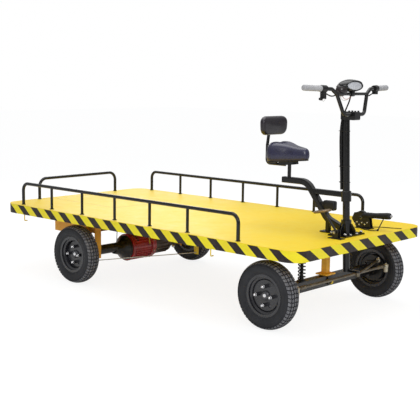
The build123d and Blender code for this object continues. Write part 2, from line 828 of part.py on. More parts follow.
def knuckle(sign, eye_gap, with_drag_arm):
    """Yoke round the beam's boss, kingpin, backplate, spindle and track arm."""
    y = sign * kingpin_place
    plate_y = sign * drum_inside(front_wheel_y, front_disc_place)
    plate_in = plate_y - sign * backplate_thickness
    web_in = y + sign * (boss_radius + swing_gap)
    low = beam_low - face_gap
    solid = upright(front_axle_x, y, low - yoke_wall, ear_top, kingpin_radius)
    for span in ((track_low, ear_top), (low - yoke_wall, low)):
        solid += upright(front_axle_x, y, span[0], span[1], boss_radius)
        solid += block(around(front_axle_x, 2 * boss_radius), (y, plate_in), span)
    solid += block(around(front_axle_x, 2 * boss_radius), (web_in, plate_in), (low - yoke_wall, ear_top))
    solid += rod((front_axle_x, plate_in, axle_height), (front_axle_x, plate_y, axle_height), backplate_radius)
    end = sign * spindle_end(front_wheel_y, front_disc_place)
    solid += rod((front_axle_x, plate_y, axle_height), (front_axle_x, end, axle_height), spindle_radius)
    solid += arm(front_axle_x, track_eye_x, y, track_low, track_low + arm_thickness)
    solid -= upright(track_eye_x, y, beam_top, ear_top + overrun, link_pin + eye_gap)
    if with_drag_arm:
        solid += arm(front_axle_x, drag_eye_x, y, ear_top, drag_arm_top)
        solid -= upright(drag_eye_x, y, beam_top, drag_arm_top + overrun, link_pin + open_pin_gap)
    return solid


parts["knuckle_left"] = knuckle(1, open_pin_gap, True)
parts["knuckle_right"] = knuckle(-1, running_gap, False)

# Tie rod below the track arms, with a pin up into each eye
tie = rod((track_eye_x, -kingpin_place, tie_z), (track_eye_x, kingpin_place, tie_z), tie_rod_size / 2)
for sign in (1, -1):
    tie += upright(track_eye_x, sign * kingpin_place, joint_top - joint_height, joint_top, joint_size / 2)
    tie += upright(track_eye_x, sign * kingpin_place, tie_z, track_low + arm_thickness + pin_head, link_pin)
parts["tie_rod"] = tie

# Drag link between the pitman arm above it and the left drag arm below it
joint_end = pitman_eye - lean * face_gap
drag_start = joint_end - lean * (joint_height / 2)
drag = rod(drag_start, (drag_eye_x, kingpin_place, drag_z), drag_rod_size / 2)
drag += rod(joint_end - lean * joint_height, joint_end, joint_size / 2)
drag += rod(drag_start, pitman_eye + lean * (pitman_thickness + pin_head), link_pin)
drag += upright(drag_eye_x, kingpin_place, drag_low, drag_low + joint_height, joint_size / 2)
drag += upright(drag_eye_x, kingpin_place, ear_top, drag_z, link_pin)
parts["drag_link"] = drag

# Steering column with the pitman arm at its foot
column = rod(pitman_foot, (on_column(column_top), 0, column_top), column_size / 2)
pitman_face = Plane(origin=pitman_foot, x_dir=forward, z_dir=lean)
pitman_outline = Pos(drag_arm_length / 2, 0) * SlotCenterToCenter(drag_arm_length, arm_width)
pitman = extrude(pitman_face * pitman_outline, pitman_thickness)
pitman -= rod(pitman_eye - lean * overrun, pitman_eye + lean * overrun, link_pin + running_gap)
parts["steering_column"] = column + pitman

# Mast base: plate, bearing housing, gussets and bolts
base_top = deck_top + base_thickness
housing_top = base_top + housing_height
base_x = on_column(deck_top)
plate = block(around(base_x, base_length), around(0, base_width), (deck_top, base_top))
housing = along_column(deck_top + base_thickness / 2, housing_top, housing_size / 2)
gusset_start = housing_size / 2
gusset_points = [(0, 0), (gusset_start + gusset_reach, 0),
                 (gusset_start + gusset_shoulder, gusset_height), (0, gusset_height)]
gusset = extrude(Plane.XZ * make_face(Polyline(gusset_points, close=True)), gusset_wall / 2, both=True)
limit = block(around(base_x, base_length), around(0, base_width), (deck_top, housing_top))
base = plate + housing
for index in range(4):
    base += (Pos(base_x, 0, base_top) * Rot(0, 0, 90 * index) * gusset) & limit
for sign_x in (1, -1):
    for sign_y in (1, -1):
        x = base_x + sign_x * (base_length / 2 - base_bolt_inset_x)
        y = sign_y * (base_width / 2 - base_bolt_inset_y)
        nut = extrude(RegularPolygon(base_bolt_size / 2, 6), base_bolt_height)
        base += Pos(x, y, base_top) * nut
column_bore = along_column(skirt_low, column_top + overrun, column_size / 2 + running_gap)
parts["mast_base"] = base - column_bore


# Seat frame: bent square tube, the arm to the mast and the collar round the column
def square_tube(points, bend, size):
    path = FilletPolyline([Vector(*point) for point in points], radius=bend)
    start = Plane(origin=path @ 0, x_dir=(0, 1, 0), z_dir=path % 0)
    return sweep(start * RectangleRounded(size, size, frame_corner), path=path)


frame_height = deck_top + frame_rise
frame_foot_x = base_x - base_length / 2 - frame_foot_gap - frame_foot_front
frame_top_x = frame_foot_x - frame_lean
frame_rear = frame_top_x - frame_run
frame_slope = frame_lean / (frame_height - base_top)
arm_height = frame_height - arm_drop
frame_end = (frame_foot_x + frame_slope * frame_tube, 0, base_top - frame_tube)
seat_tube = square_tube([(frame_rear, 0, frame_height), (frame_top_x, 0, frame_height), frame_end],
                        frame_bend, frame_tube)
seat_tube -= block((frame_top_x, frame_foot_x + 3 * frame_tube), around(0, 2 * frame_tube),
                   (base_top - 3 * frame_tube, base_top))
arm_start = frame_top_x + (frame_height - arm_height) * frame_slope
arm_tube = block((arm_start, on_column(arm_height)), around(0, arm_size), around(arm_height, arm_size))
collar_high = arm_height + collar_rise
collar = along_column(arm_height - collar_drop, collar_high, collar_size / 2)
foot = block((frame_foot_x - frame_foot_rear, frame_foot_x + frame_foot_front), around(0, frame_foot_plate),
             (deck_top, base_top))
parts["seat_frame"] = seat_tube + (arm_tube - seat_tube) + collar + foot - column_bore

# Control box on the front of the seat frame
control_low = deck_top + control_rise
control_drop = frame_height - control_low - control_height / 2
control_rear = frame_top_x + frame_slope * control_drop + control_inset
control_box = block((control_rear, control_rear + control_length), around(0, control_width),
                    (control_low, control_low + control_height))
control_box = fillet(control_box.edges().filter_by(Axis.Y), control_corner)
parts["control_box"] = control_box - seat_tube

# Seat post with its carrier plate under the saddle, and the backrest bar
seat_post_x = frame_rear + seat_post_inset
saddle_rear = seat_post_x - saddle_setback
saddle_low_rear = frame_height + saddle_rise
saddle_high_rear = saddle_low_rear + saddle_rear_height
low_slope = saddle_nose_rise / saddle_length
high_slope = (saddle_nose_rise + saddle_nose_height - saddle_rear_height) / saddle_length
back_place = saddle_rear - back_setback
back_low = saddle_high_rear + back_gap
back_high = back_low + back_height
back_bar_rear = back_place - back_bar_reach
carrier_plane = Plane(origin=(saddle_rear, 0, saddle_low_rear), x_dir=(1, 0, low_slope),
                      z_dir=(-low_slope, 0, 1))
carrier_middle = saddle_setback + (carrier_front - carrier_rear) / 2
carrier_depth = seat_gap + carrier_height / 2
plate = carrier_plane * Pos(carrier_middle, 0, -carrier_depth) * Box(
    carrier_rear + carrier_front, carrier_width, carrier_height)
post_top = saddle_low_rear + low_slope * saddle_setback - carrier_depth
carrier = upright(seat_post_x, 0, frame_height + frame_tube / 2, post_top, seat_post_size / 2) + plate
parts["seat_post"] = carrier
bar_height = saddle_low_rear - back_bar_size / 2 - 2 * seat_gap
bar_face = back_place - back_thickness / 2 - back_bow - back_bar_size / 2 - seat_gap
back_bar = bent_tube(
    [(seat_post_x - carrier_rear / 2, 0, bar_height), (back_bar_rear, 0, bar_height),
     (back_bar_rear, 0, back_low - back_bar_knee_drop), (bar_face, 0, back_low - back_bar_neck_drop),
     (bar_face, 0, back_high - back_bar_top_inset)], back_bar_bend, back_bar_size / 2)
parts["backrest_bar"] = back_bar - carrier


# Saddle: broad rear corners and a narrow nose, lofted through four levels
def saddle_level(share, inset):
    """The saddle's outline on a level between its sloping bottom and top."""
    rear_z = saddle_low_rear + (saddle_high_rear - saddle_low_rear) * share
    slope = low_slope + (high_slope - low_slope) * share
    plane = Plane(origin=(saddle_rear, 0, rear_z), x_dir=(1, 0, slope), z_dir=(-slope, 0, 1))
    corner = saddle_corner - inset
    nose = nose_half_width - inset / 2
    rear = Pos(saddle_corner, saddle_half_width - saddle_corner) * Circle(corner)
    other = Pos(saddle_corner, saddle_corner - saddle_half_width) * Circle(corner)
    front = Pos(saddle_length - nose_half_width, 0) * Circle(nose)
    return plane * make_hull((rear + other + front).edges())


levels = [saddle_level(0, saddle_low_inset), saddle_level(saddle_belly_share, 0),
          saddle_level(saddle_brow_share, saddle_high_inset / 4), saddle_level(1, saddle_high_inset)]
parts["saddle"] = loft(Sketch() + levels, ruled=True)

# Backrest pad, bowed to the back
pad_front = back_place + back_thickness / 2
pad_rear = back_place - back_thickness / 2


def bow(x, side):
    """An arc across the pad, bowed to the back."""
    return ThreePointArc((x, -side * back_half_width), (x - back_bow, 0), (x, side * back_half_width))


pad_outline = [bow(pad_front, 1), Line((pad_front, back_half_width), (pad_rear, back_half_width)),
               bow(pad_rear, -1), Line((pad_rear, -back_half_width), (pad_front, -back_half_width))]
pad = Pos(0, 0, back_low) * extrude(make_face(pad_outline), back_height)
mask_face = Plane.YZ * Pos(0, (back_low + back_high) / 2) * RectangleRounded(
    2 * back_half_width, back_high - back_low, back_corner)
mask = extrude(mask_face, pad_front + overrun)
parts["backrest_pad"] = pad & mask

# Handlebar: low cross piece, legs, grips' ends and the brace that carries the lamp
bar_low_x = on_column(column_top) + bar_reach
bar_low = column_top + bar_rise
bar_high_x = bar_low_x - bar_leg_setback
bar_high_half = bar_low_half + bar_leg_spread
bar_high = bar_low + bar_leg_rise
bar_turn_x = bar_high_x - bar_turn_setback
bar_turn_half = bar_high_half + bar_turn_spread
bar_turn_height = bar_high + bar_turn_rise
bar_end_x = bar_turn_x - bar_end_setback
bar_end_half = bar_turn_half + bar_end_spread
bar_end_height = bar_turn_height + bar_end_rise
half_points = [(bar_low_x, 0, bar_low), (bar_low_x, bar_low_half, bar_low),
               (bar_high_x, bar_high_half, bar_high), (bar_turn_x, bar_turn_half, bar_turn_height),
               (bar_end_x, bar_end_half, bar_end_height)]
half_bar = bent_tube(half_points, [bar_low_bend, bar_high_bend, bar_turn_bend], bar_size / 2)
brace = across_y(bar_high_x, 0, bar_high, bar_high_half, brace_size / 2)
parts["handlebar"] = half_bar + mirror(half_bar, Plane.XZ) + brace

# Stem: clamp block on the column's top, with four cap knobs
stem_rear = on_column(column_top) - column_size / 2
stem_low = column_top - column_size * math.tan(rake)
stem_high = column_top + stem_height
stem = block((stem_rear, bar_low_x + stem_nose), around(0, stem_width), (stem_low, stem_high))
stem = fillet(stem.edges().filter_by(Axis.Y), stem_corner)
stem -= across_y(bar_low_x, 0, bar_low, stem_width, bar_size / 2 + seat_gap)
knob_x = bar_low_x - stem_corner / 4
knob_reach_x = stem_knob_inset + bar_size / 2 - stem_corner / 4
knob_reach_y = stem_width / 2 - stem_knob_inset
for x in (knob_x - knob_reach_x, knob_x + knob_reach_x):
    for y in (-knob_reach_y, knob_reach_y):
        stem += upright(x, y, stem_high, stem_high + stem_knob_height, stem_knob_size / 2)
parts["stem"] = stem - column

# Grips and switch pods on the bar's ends
turn_point = Vector(bar_turn_x, bar_turn_half, bar_turn_height)
end_point = Vector(bar_end_x, bar_end_half, bar_end_height)
outward = (end_point - turn_point).normalized()


def on_bar(distance):
    """A point on the straight end of the bar, at a distance in from its end."""
    return tuple(end_point - outward * distance)


bar_cut = rod(tuple(turn_point), tuple(end_point), bar_size / 2 + seat_gap)
grip = rod(on_bar(grip_length), on_bar(-grip_end_wall), grip_size / 2) - bar_cut
parts["grips"] = Compound(both_sides(grip))
pod_inner = grip_length + pod_gap + pod_length
pod_middle = Vector(*on_bar(pod_inner - pod_length / 2))


def pod(drop):
    solid = rod(on_bar(pod_inner), on_bar(pod_inner - pod_length), pod_size / 2)
    solid += block(around(pod_middle.X, switch_depth), around(pod_middle.Y, switch_width),
                   (pod_middle.Z - drop, pod_middle.Z))
    return solid - bar_cut


parts["switch_pods"] = Compound([pod(throttle_drop), mirror(pod(switch_drop), Plane.XZ)])

# Head lamp: visor and tapered tail from the side, rounded from the front, with a foot round the brace
lamp_front = bar_high_x + lamp_reach
lamp_rear = lamp_front - lamp_length
lamp_low = bar_high + lamp_rise
lamp_high = lamp_low + lamp_height
side_outline = Polyline([(lamp_rear, lamp_low + lamp_tail_rise), (lamp_rear + lamp_tail_reach, lamp_low),
                         (lamp_front - lamp_nose_rise, lamp_low),
                         (lamp_front - lamp_nose_rise / 2, lamp_low + lamp_nose_rise),
                         (lamp_front - lamp_nose_rise / 2, lamp_high - lamp_visor),
                         (lamp_front, lamp_high - lamp_visor / 2),
                         (lamp_front - lamp_visor, lamp_high), (lamp_rear + lamp_tail_reach, lamp_high),
                         (lamp_rear, lamp_high - lamp_tail_drop)], close=True)
shell = extrude(Plane.XZ * make_face(side_outline), lamp_half_width, both=True)
lamp_middle = (lamp_low + lamp_high) / 2
lamp_front_view = Plane.YZ * Pos(0, lamp_middle) * RectangleRounded(2 * lamp_half_width, lamp_high - lamp_low,
                                                                     lamp_corner)
shell = shell & extrude(lamp_front_view, lamp_front + overrun)
lens_face = lamp_front - lamp_nose_rise / 2
lens_view = Plane.YZ * Pos(0, lamp_middle) * RectangleRounded(
    2 * (lamp_half_width - lens_inset), lamp_high - lamp_low - 2 * lens_drop, lens_corner)
lens_mask = extrude(lens_view, lamp_front + overrun)
lens = lens_mask & block((lens_face - lens_depth, lens_face), around(0, 2 * lamp_half_width),
                         (lamp_low, lamp_high))
foot_top = lamp_low + lamp_nose_rise
lamp_foot = block(around(bar_high_x, lamp_foot_depth), around(0, lamp_foot_width),
                  (bar_high - brace_size / 2 - lamp_foot_wall, foot_top))
lamp_foot -= across_y(bar_high_x, 0, bar_high, lamp_foot_width, brace_size / 2 + seat_gap)
parts["lamp_lens"] = lens
parts["head_lamp"] = shell + lamp_foot - lens

# Brake pedal: foot with cheeks, pivot, curved rod and pad
pedal_foot_x = column_foot_x + pedal_foot_reach
pedal_knee_x = pedal_foot_x - pedal_knee_setback
pedal_pad_x = pedal_knee_x - pedal_pad_setback
pad_shape = extrude(SlotOverall(pedal_pad_length, pedal_pad_width), pedal_pad_thickness)
pad_low = deck_top + pedal_pad_height
pedal_pad = Pos(pedal_pad_x, pedal_place, pad_low) * Rot(0, -pedal_pad_angle, 0) * pad_shape
pivot_z = deck_top + pedal_pivot_height
foot = block(around(pedal_foot_x, pedal_foot_length), around(pedal_place, pedal_foot_width),
             (deck_top, deck_top + pedal_foot_plate))
for sign in (1, -1):
    foot += block(around(pedal_foot_x, pedal_cheek_length),
                  around(pedal_place + sign * pedal_cheek_gap / 2, pedal_cheek),
                  (deck_top + pedal_foot_plate, deck_top + pedal_cheek_height))
pivot_reach = pedal_cheek_gap / 2 + 2 * pedal_cheek
foot += across_y(pedal_foot_x, pedal_place, pivot_z, pivot_reach, pedal_pivot)
boss_reach = pedal_cheek_gap / 2 - pedal_cheek
foot += across_y(pedal_foot_x, pedal_place, pivot_z, boss_reach, pedal_boss)
pedal_rod_path = [(pedal_foot_x, pedal_place, pivot_z),
                  (pedal_knee_x, pedal_place, deck_top + pedal_knee_height),
                  (pedal_pad_x, pedal_place, pad_low + pedal_rod)]
parts["brake_pedal"] = foot + bent_tube(pedal_rod_path, pedal_bend, pedal_rod) - pedal_pad
parts["pedal_pad"] = pedal_pad

# Hand brake: foot plate, two quadrant plates, and the lever with its grip, button and rod
brake_plate_front = half_length - brake_inset
brake_plate_rear = brake_plate_front - brake_plate_length
quadrant_rear = brake_plate_front - quadrant_length
lever_pivot_x = brake_plate_front - lever_pivot_inset
grip_start_x = lever_pivot_x + lever_length
grip_tip_x = grip_start_x + lever_grip_length
lever_rod_x = grip_start_x + lever_rod_place
lever_rod_foot_x = lever_rod_x - lever_rod_setback
quadrant_low = deck_top + brake_plate_thickness
quadrant_points = [(quadrant_rear + quadrant_length * x, quadrant_low + quadrant_height * z)
                   for x, z in quadrant_shares]
quadrant = extrude(Plane.XZ * make_face(Polyline(quadrant_points, close=True)), quadrant_wall / 2, both=True)
bracket = block((brake_plate_rear, brake_plate_front), around(brake_place, brake_plate_width),
                (deck_top, quadrant_low))
for sign in (1, -1):
    bracket += Pos(0, brake_place + sign * quadrant_spread / 2, 0) * quadrant
lever_z = deck_top + lever_height
pivot_reach = quadrant_spread / 2 + 2 * quadrant_wall
pivot = across_y(lever_pivot_x, brake_place, lever_z, pivot_reach, lever_pivot)
parts["hand_brake_bracket"] = bracket + pivot
boss_reach = quadrant_spread / 2 - quadrant_wall
grip_start = (grip_start_x, brake_place, deck_top + grip_start_height)
grip_tip = (grip_tip_x, brake_place, deck_top + grip_tip_height)
lever = rod((lever_pivot_x, brake_place, lever_z), grip_start, lever_size / 2)
lever += across_y(lever_pivot_x, brake_place, lever_z, boss_reach, lever_boss)
lever -= across_y(lever_pivot_x, brake_place, lever_z, pivot_reach, lever_pivot + seat_gap)
lever += rod(grip_start, grip_tip, lever_grip_size / 2)
lever += rod(grip_tip, (grip_tip_x + lever_button_reach, brake_place, deck_top + grip_tip_height),
             lever_button_size / 2)
rod_foot_y = brake_place - lever_rod_foot_shift
lever_rod = rod((lever_rod_x, brake_place, deck_top + grip_tip_height - lever_grip_size / 4),
                (lever_rod_foot_x, rod_foot_y, deck_top - lever_rod_size), lever_rod_size / 2)
lever_rod -= block(around(lever_rod_foot_x, overrun * 2), around(rod_foot_y, overrun * 2),
                   (deck_top - overrun * 2, deck_top))
parts["hand_brake_lever"] = lever + lever_rod

# Brake relay tab under the platform, with a rod to each rear drum
relay_x = member_places[3]
relay_low = member_low - relay_length
parts["brake_relay"] = block(around(relay_x, relay_width), around(0, relay_wall), (relay_low, member_low))
rod_x = rear_axle_x + backplate_radius - 2 * rod_size
rod_y = tube_end - rod_size
relay_end = (relay_x, relay_wall / 2 + rod_size / 2 + seat_gap, relay_low + 2 * rod_size)
brake_rod = bent_tube([relay_end, (rod_x, rod_y, axle_height), (rod_x, tube_end, axle_height)], rod_size / 2,
                      rod_size / 2)
parts["brake_rods"] = Compound(both_sides(brake_rod))

# Cables: the bundle down the back of the column, and the motor's cable
bundle_reach = (column_size + cable_size) / 2 + seat_gap
bundle_high = column_top - 2 * cable_size
bundle_low = collar_high + 3 * cable_size
bundle_path = [(on_column(bundle_low), 0, bundle_low),
               (on_column(bundle_low) - bundle_reach, 0, bundle_low + cable_size),
               (on_column(bundle_high) - bundle_reach, 0, bundle_high)]
parts["cable_bundle"] = bent_tube(bundle_path, cable_bend, cable_size / 2) - column
motor_cable_x = rear_axle_x + motor_cable_reach
motor_cable_y = motor_cable_inset - channel_place
motor_cable_low = axle_height + motor_cable_rise
motor_cable_path = [(motor_cable_x, motor_cable_y, deck_under),
                    (motor_cable_x, motor_cable_y, motor_cable_low),
                    (rear_axle_x, motor_start - bell_rim / 2, motor_cable_low)]
motor_bell = parts["rear_axle_right"]
parts["motor_cable"] = bent_tube(motor_cable_path, motor_cable_bend, motor_cable_size / 2) - motor_bell

os.makedirs("parts", exist_ok=True)
for node, solid in parts.items():
    export_step(solid, f"parts/{node}.step")
print(len(parts), "nodes")
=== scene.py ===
# %% [markdown]
# # An electric platform cart
# The frame, the wheels and the steering come from the construction model.
# This lesson gives each of its pieces a finish, and adds the small things that make it look real:
# tread blocks, bright nuts, padded seat, lamp, grips, wires and bolts.

# %% Load the cart
import bpy, bmesh, math
from mathutils import Matrix, Vector, Euler


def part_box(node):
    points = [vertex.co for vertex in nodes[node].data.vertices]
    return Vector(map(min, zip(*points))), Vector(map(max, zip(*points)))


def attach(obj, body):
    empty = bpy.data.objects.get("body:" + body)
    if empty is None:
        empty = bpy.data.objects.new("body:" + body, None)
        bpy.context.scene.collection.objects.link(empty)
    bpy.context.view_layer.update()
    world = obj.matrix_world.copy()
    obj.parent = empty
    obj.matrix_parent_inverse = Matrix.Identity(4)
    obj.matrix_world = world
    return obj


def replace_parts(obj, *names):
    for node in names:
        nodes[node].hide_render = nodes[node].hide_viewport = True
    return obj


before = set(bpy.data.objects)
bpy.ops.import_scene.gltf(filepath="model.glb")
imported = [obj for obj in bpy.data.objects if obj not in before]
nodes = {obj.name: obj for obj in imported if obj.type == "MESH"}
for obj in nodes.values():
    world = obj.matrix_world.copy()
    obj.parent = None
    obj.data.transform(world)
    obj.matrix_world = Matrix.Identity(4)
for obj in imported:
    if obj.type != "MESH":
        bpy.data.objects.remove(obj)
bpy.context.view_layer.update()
bpy.ops.object.select_all(action="DESELECT")

# %% [markdown]
# ## The camera
# The photograph was taken from the cart's front right corner, a little above the platform.
# Its place and lens were solved from the four wheels on the floor and the platform's edges.
# It could be turned by angles, but its three axes are exact and easy to check.

# %% Camera
AROUND_ANGLE, ABOVE_ANGLE, ROLL_ANGLE = (math.radians(a) for a in (42.562, 8.265, 0.757))
CAMERA_PLACE = Vector((4.768, -5.085, 1.597))
FRAME_WIDTH_PX, FOCAL_PX, SENSOR_MM = 420, 914.345, 36.0

around, tilt = AROUND_ANGLE, ABOVE_ANGLE
back = Vector((math.sin(around) * math.cos(tilt), -math.cos(around) * math.cos(tilt), math.sin(tilt)))
level = Vector((math.cos(around), math.sin(around), 0.0))
above = back.cross(level)
right = level * math.cos(ROLL_ANGLE) + above * math.sin(ROLL_ANGLE)
up = above * math.cos(ROLL_ANGLE) - level * math.sin(ROLL_ANGLE)

camera_data = bpy.data.cameras.new("camera")
camera_data.sensor_width = SENSOR_MM
camera_data.lens = FOCAL_PX * SENSOR_MM / FRAME_WIDTH_PX
camera = bpy.data.objects.new("camera", camera_data)
bpy.context.scene.collection.objects.link(camera)
camera.matrix_world = Matrix.Translation(CAMERA_PLACE) @ Matrix((right, up, back)).transposed().to_4x4()
bpy.context.scene.camera = camera
bpy.context.scene.view_settings.view_transform = "Standard"
print("lens", round(camera_data.lens, 2), "mm")

# %% [markdown]
# ## Soft studio light
# The cart stands on a white sweep with almost no shadow.
# The world gives an even light, and large lamps give the paint its soft highlights.
# Behind the cart the camera sees plain white. Gloss mirrors a white ceiling that darkens
# towards the horizon, so black paint stays black.

# %% Shader helpers
def node(tree, kind, sockets=None, **settings):
    """Adds a shader node, sets it, and links or fills its sockets."""
    made = tree.nodes.new("ShaderNode" + kind)
    for key, value in settings.items():
        setattr(made, key, value)
    for socket, value in (sockets or {}).items():
        if isinstance(value, bpy.types.NodeSocket):
            tree.links.new(value, made.inputs[socket])
        else:
            made.inputs[socket].default_value = value
    return made


def tone(red, green, blue):
    """A colour as a paint chart gives it, 0 to 255, turned into light."""
    chart = [c / 255 for c in (red, green, blue)]
    return tuple(c / 12.92 if c < 0.04045 else ((c + 0.055) / 1.055) ** 2.4 for c in chart) + (1.0,)


def calc(tree, operation, a, b=0.0, c=0.0):
    """One arithmetic node's result."""
    return node(tree, "Math", {0: a, 1: b, 2: c}, operation=operation).outputs[0]


def rays(tree):
    """What the camera sees, and what gloss and glass show, as two switches."""
    path = node(tree, "LightPath").outputs
    return path["Is Camera Ray"], calc(tree, "MAXIMUM", path["Is Glossy Ray"], path["Is Transmission Ray"])


def spot(tree):
    """The place on the piece, in its own coordinates."""
    return node(tree, "TexCoord").outputs["Object"]


# %% World and lamps
WHITE = (1.0, 1.0, 1.0, 1.0)
SKY, SKY_STRENGTH = (0.97, 0.985, 1.0, 1.0), 0.66
HORIZON_Z, CEILING_Z, HORIZON_SHARE = 0.1, 0.85, 0.22
world = bpy.data.worlds.new("studio")
bpy.context.scene.world = world
world.use_nodes = True
tree = world.node_tree
tree.nodes.clear()
seen, mirrored = rays(tree)
heading = node(tree, "SeparateXYZ", {0: node(tree, "TexCoord").outputs["Generated"]})
ceiling = node(tree, "MapRange", {
    "Value": heading.outputs["Z"], "From Min": HORIZON_Z, "From Max": CEILING_Z, "To Min": HORIZON_SHARE})
strength = calc(tree, "MAXIMUM", ceiling.outputs[0], seen)
soft = node(tree, "Background", {"Color": SKY, "Strength": SKY_STRENGTH})
white = node(tree, "Background", {"Color": WHITE, "Strength": strength})
either = calc(tree, "MAXIMUM", seen, mirrored)
both = node(tree, "MixShader", {0: either, 1: soft.outputs[0], 2: white.outputs[0]})
node(tree, "OutputWorld", {"Surface": both.outputs[0]})


def lamp(name, place, aim, size, power):
    """A large square lamp that points at a place on the cart."""
    data = bpy.data.lights.new(name, "AREA")
    data.size, data.energy = size, power
    made = bpy.data.objects.new(name, data)
    bpy.context.scene.collection.objects.link(made)
    way = Vector(place) - Vector(aim)
    made.matrix_world = Matrix.Translation(place) @ way.to_track_quat("Z", "Y").to_matrix().to_4x4()


lamp("front_window", (5.5, -4.5, 3.6), (0.4, 0.0, 0.5), 3.0, 150)
lamp("top_window", (0.3, 0.1, 4.6), (0.2, 0.0, 0.5), 3.6, 84)
lamp("rear_window", (-4.5, 3.5, 3.0), (-0.5, 0.0, 0.6), 2.4, 60)

# %% Floor
FLOOR_GLOW, FLOOR_SHOWN, FLOOR_BOUNCED = 0.86, (0.2, 0.2, 0.2, 1.0), (0.8, 0.8, 0.79, 1.0)
MIRRORED_SHARE = (0.3, 0.3, 0.3, 1.0)
bpy.ops.mesh.primitive_plane_add(size=60.0, location=(0.0, 0.0, -0.0005))
floor = bpy.context.object
floor.name = "floor"
floor_paint = bpy.data.materials.new("white_sweep")
floor_paint.use_nodes = True
tree = floor_paint.node_tree
tree.nodes.clear()
seen, mirrored = rays(tree)
share = node(tree, "MixRGB", {"Fac": mirrored, "Color1": seen, "Color2": MIRRORED_SHARE})
shown = node(tree, "AddShader", {
    0: node(tree, "BsdfDiffuse", {"Color": FLOOR_SHOWN}).outputs[0],
    1: node(tree, "Emission", {"Color": WHITE, "Strength": FLOOR_GLOW}).outputs[0]})
bounced = node(tree, "BsdfDiffuse", {"Color": FLOOR_BOUNCED})
both = node(tree, "MixShader", {0: share.outputs[0], 1: bounced.outputs[0], 2: shown.outputs[0]})
node(tree, "OutputMaterial", {"Surface": both.outputs[0]})
floor.data.materials.append(floor_paint)

# %% [markdown]
# ## Finishes
# Most of the cart is painted steel: sprayed paint has a fine orange peel, cloudy patches and a little dust.
# One helper makes any such finish from its tones, its gloss and its dust.
# The pattern reads object coordinates, so it is the same size on every piece.

# %% Paint helper
COAT_ROUGHNESS, GRAIN_DEPTH = 0.12, 0.0006
finishes = {}


def noise(tree, scale, detail=2.0, roughness=0.5):
    """A cloudy pattern on the piece."""
    sockets = {"Vector": spot(tree), "Scale": scale, "Detail": detail, "Roughness": roughness}
    return node(tree, "TexNoise", sockets).outputs["Fac"]


def ramp(tree, value, low, low_colour, high, high_colour):
    """One colour up to a value, another from a higher one on."""
    made = node(tree, "ValToRGB", {"Fac": value})
    first, last = made.color_ramp.elements
    first.position, first.color, last.position, last.color = low, low_colour, high, high_colour
    return made.outputs[0]


def finish(name, base, second, dust, gloss, patch, dusty, metal=0.0, coat=0.0, grain=420.0, peel=0.08,
    shine=0.5):
    """A worn, uneven finish: two tones in patches, dust in specks, and a fine grain."""
    made = finishes[name] = bpy.data.materials.new(name)
    made.use_nodes = True
    tree = made.node_tree
    shader = tree.nodes["Principled BSDF"]
    cloudy = ramp(tree, noise(tree, patch, 4.0, 0.6), 0.35, tone(*base), 0.68, tone(*second))
    specks = noise(tree, patch * 9.0, 6.0, 0.7)
    settled = node(tree, "MapRange", {"Value": specks, "From Min": 0.52, "From Max": 0.74, "To Max": dusty})
    colour = node(tree, "MixRGB", {"Fac": settled.outputs[0], "Color1": cloudy, "Color2": tone(*dust)})
    rough = node(tree, "MapRange", {"Value": specks, "From Min": 0.3, "From Max": 0.7,
                                    "To Min": max(gloss - 0.07, 0.02), "To Max": min(gloss + 0.12, 1.0)})
    bump = node(tree, "Bump", {"Height": noise(tree, grain), "Strength": peel, "Distance": GRAIN_DEPTH})
    for socket, source in (("Base Color", colour), ("Roughness", rough), ("Normal", bump)):
        tree.links.new(source.outputs[0], shader.inputs[socket])
    for socket, value in (("Metallic", metal), ("Coat Weight", coat), ("Coat Roughness", COAT_ROUGHNESS),
                          ("Specular IOR Level", shine)):
        shader.inputs[socket].default_value = value


def over(tree, share, colour):
    """Lays a colour over the finish where the share says so."""
    socket = tree.nodes["Principled BSDF"].inputs["Base Color"]
    mixed = node(tree, "MixRGB", {"Fac": share, "Color1": socket.links[0].from_socket, "Color2": colour})
    tree.links.new(mixed.outputs[0], socket)


# %% The cart's finishes
# The name, two tones, the dust, the gloss, how fine the patches are, and the share of dust.
DUST = (92, 88, 80)
finish("deck_paint", (244, 208, 34), (244, 213, 54), (234, 186, 60), 0.4, 1.1, 0.22, peel=0.1, shine=0.12)
finish("channel_paint", (236, 164, 24), (244, 180, 40), (150, 104, 40), 0.4, 5, 0.3)
finish("hook_paint", (236, 206, 30), (226, 190, 40), (150, 120, 40), 0.4, 12, 0.2)
finish("gloss_black", (8, 8, 9), (16, 16, 17), DUST, 0.2, 7, 0.03, coat=0.3, shine=0.3)
finish("satin_black", (14, 14, 16), (24, 24, 26), DUST, 0.36, 9, 0.1, coat=0.1, shine=0.4)
finish("axle_paint", (12, 11, 11), (26, 23, 22), (72, 60, 48), 0.3, 8, 0.2, coat=0.3, shine=0.4)
finish("motor_paint", (158, 12, 20), (190, 32, 32), (70, 20, 20), 0.24, 14, 0.35, coat=0.5)
finish("gearcase_metal", (96, 84, 74), (70, 60, 52), (34, 28, 24), 0.42, 16, 0.5, metal=0.6, grain=260,
    peel=0.35)
finish("rod_steel", (134, 124, 106), (96, 88, 76), (52, 42, 34), 0.34, 18, 0.4, metal=0.8)
finish("joint_steel", (196, 188, 168), (160, 152, 134), (90, 78, 60), 0.3, 26, 0.35, metal=0.75)
finish("bright_chrome", (240, 240, 242), (224, 224, 228), (150, 146, 140), 0.2, 40, 0.1, metal=0.85, peel=0.02)
finish("tyre_rubber", (25, 26, 30), (36, 37, 42), (84, 84, 86), 0.55, 10, 0.25, grain=900, peel=0.3, shine=0.4)
# The tread blocks get a light grey finish with heavy light dust: partly dust and wear, partly a painted
# highlight on the block tops.
finish("tread_rubber_painted_highlight", (80, 80, 85), (118, 118, 122), (160, 160, 162), 0.6, 30, 0.7, grain=700, peel=0.5,
    shine=0.35)
finish("rim_black", (26, 26, 31), (42, 42, 48), DUST, 0.26, 12, 0.1, coat=0.4, shine=0.5)
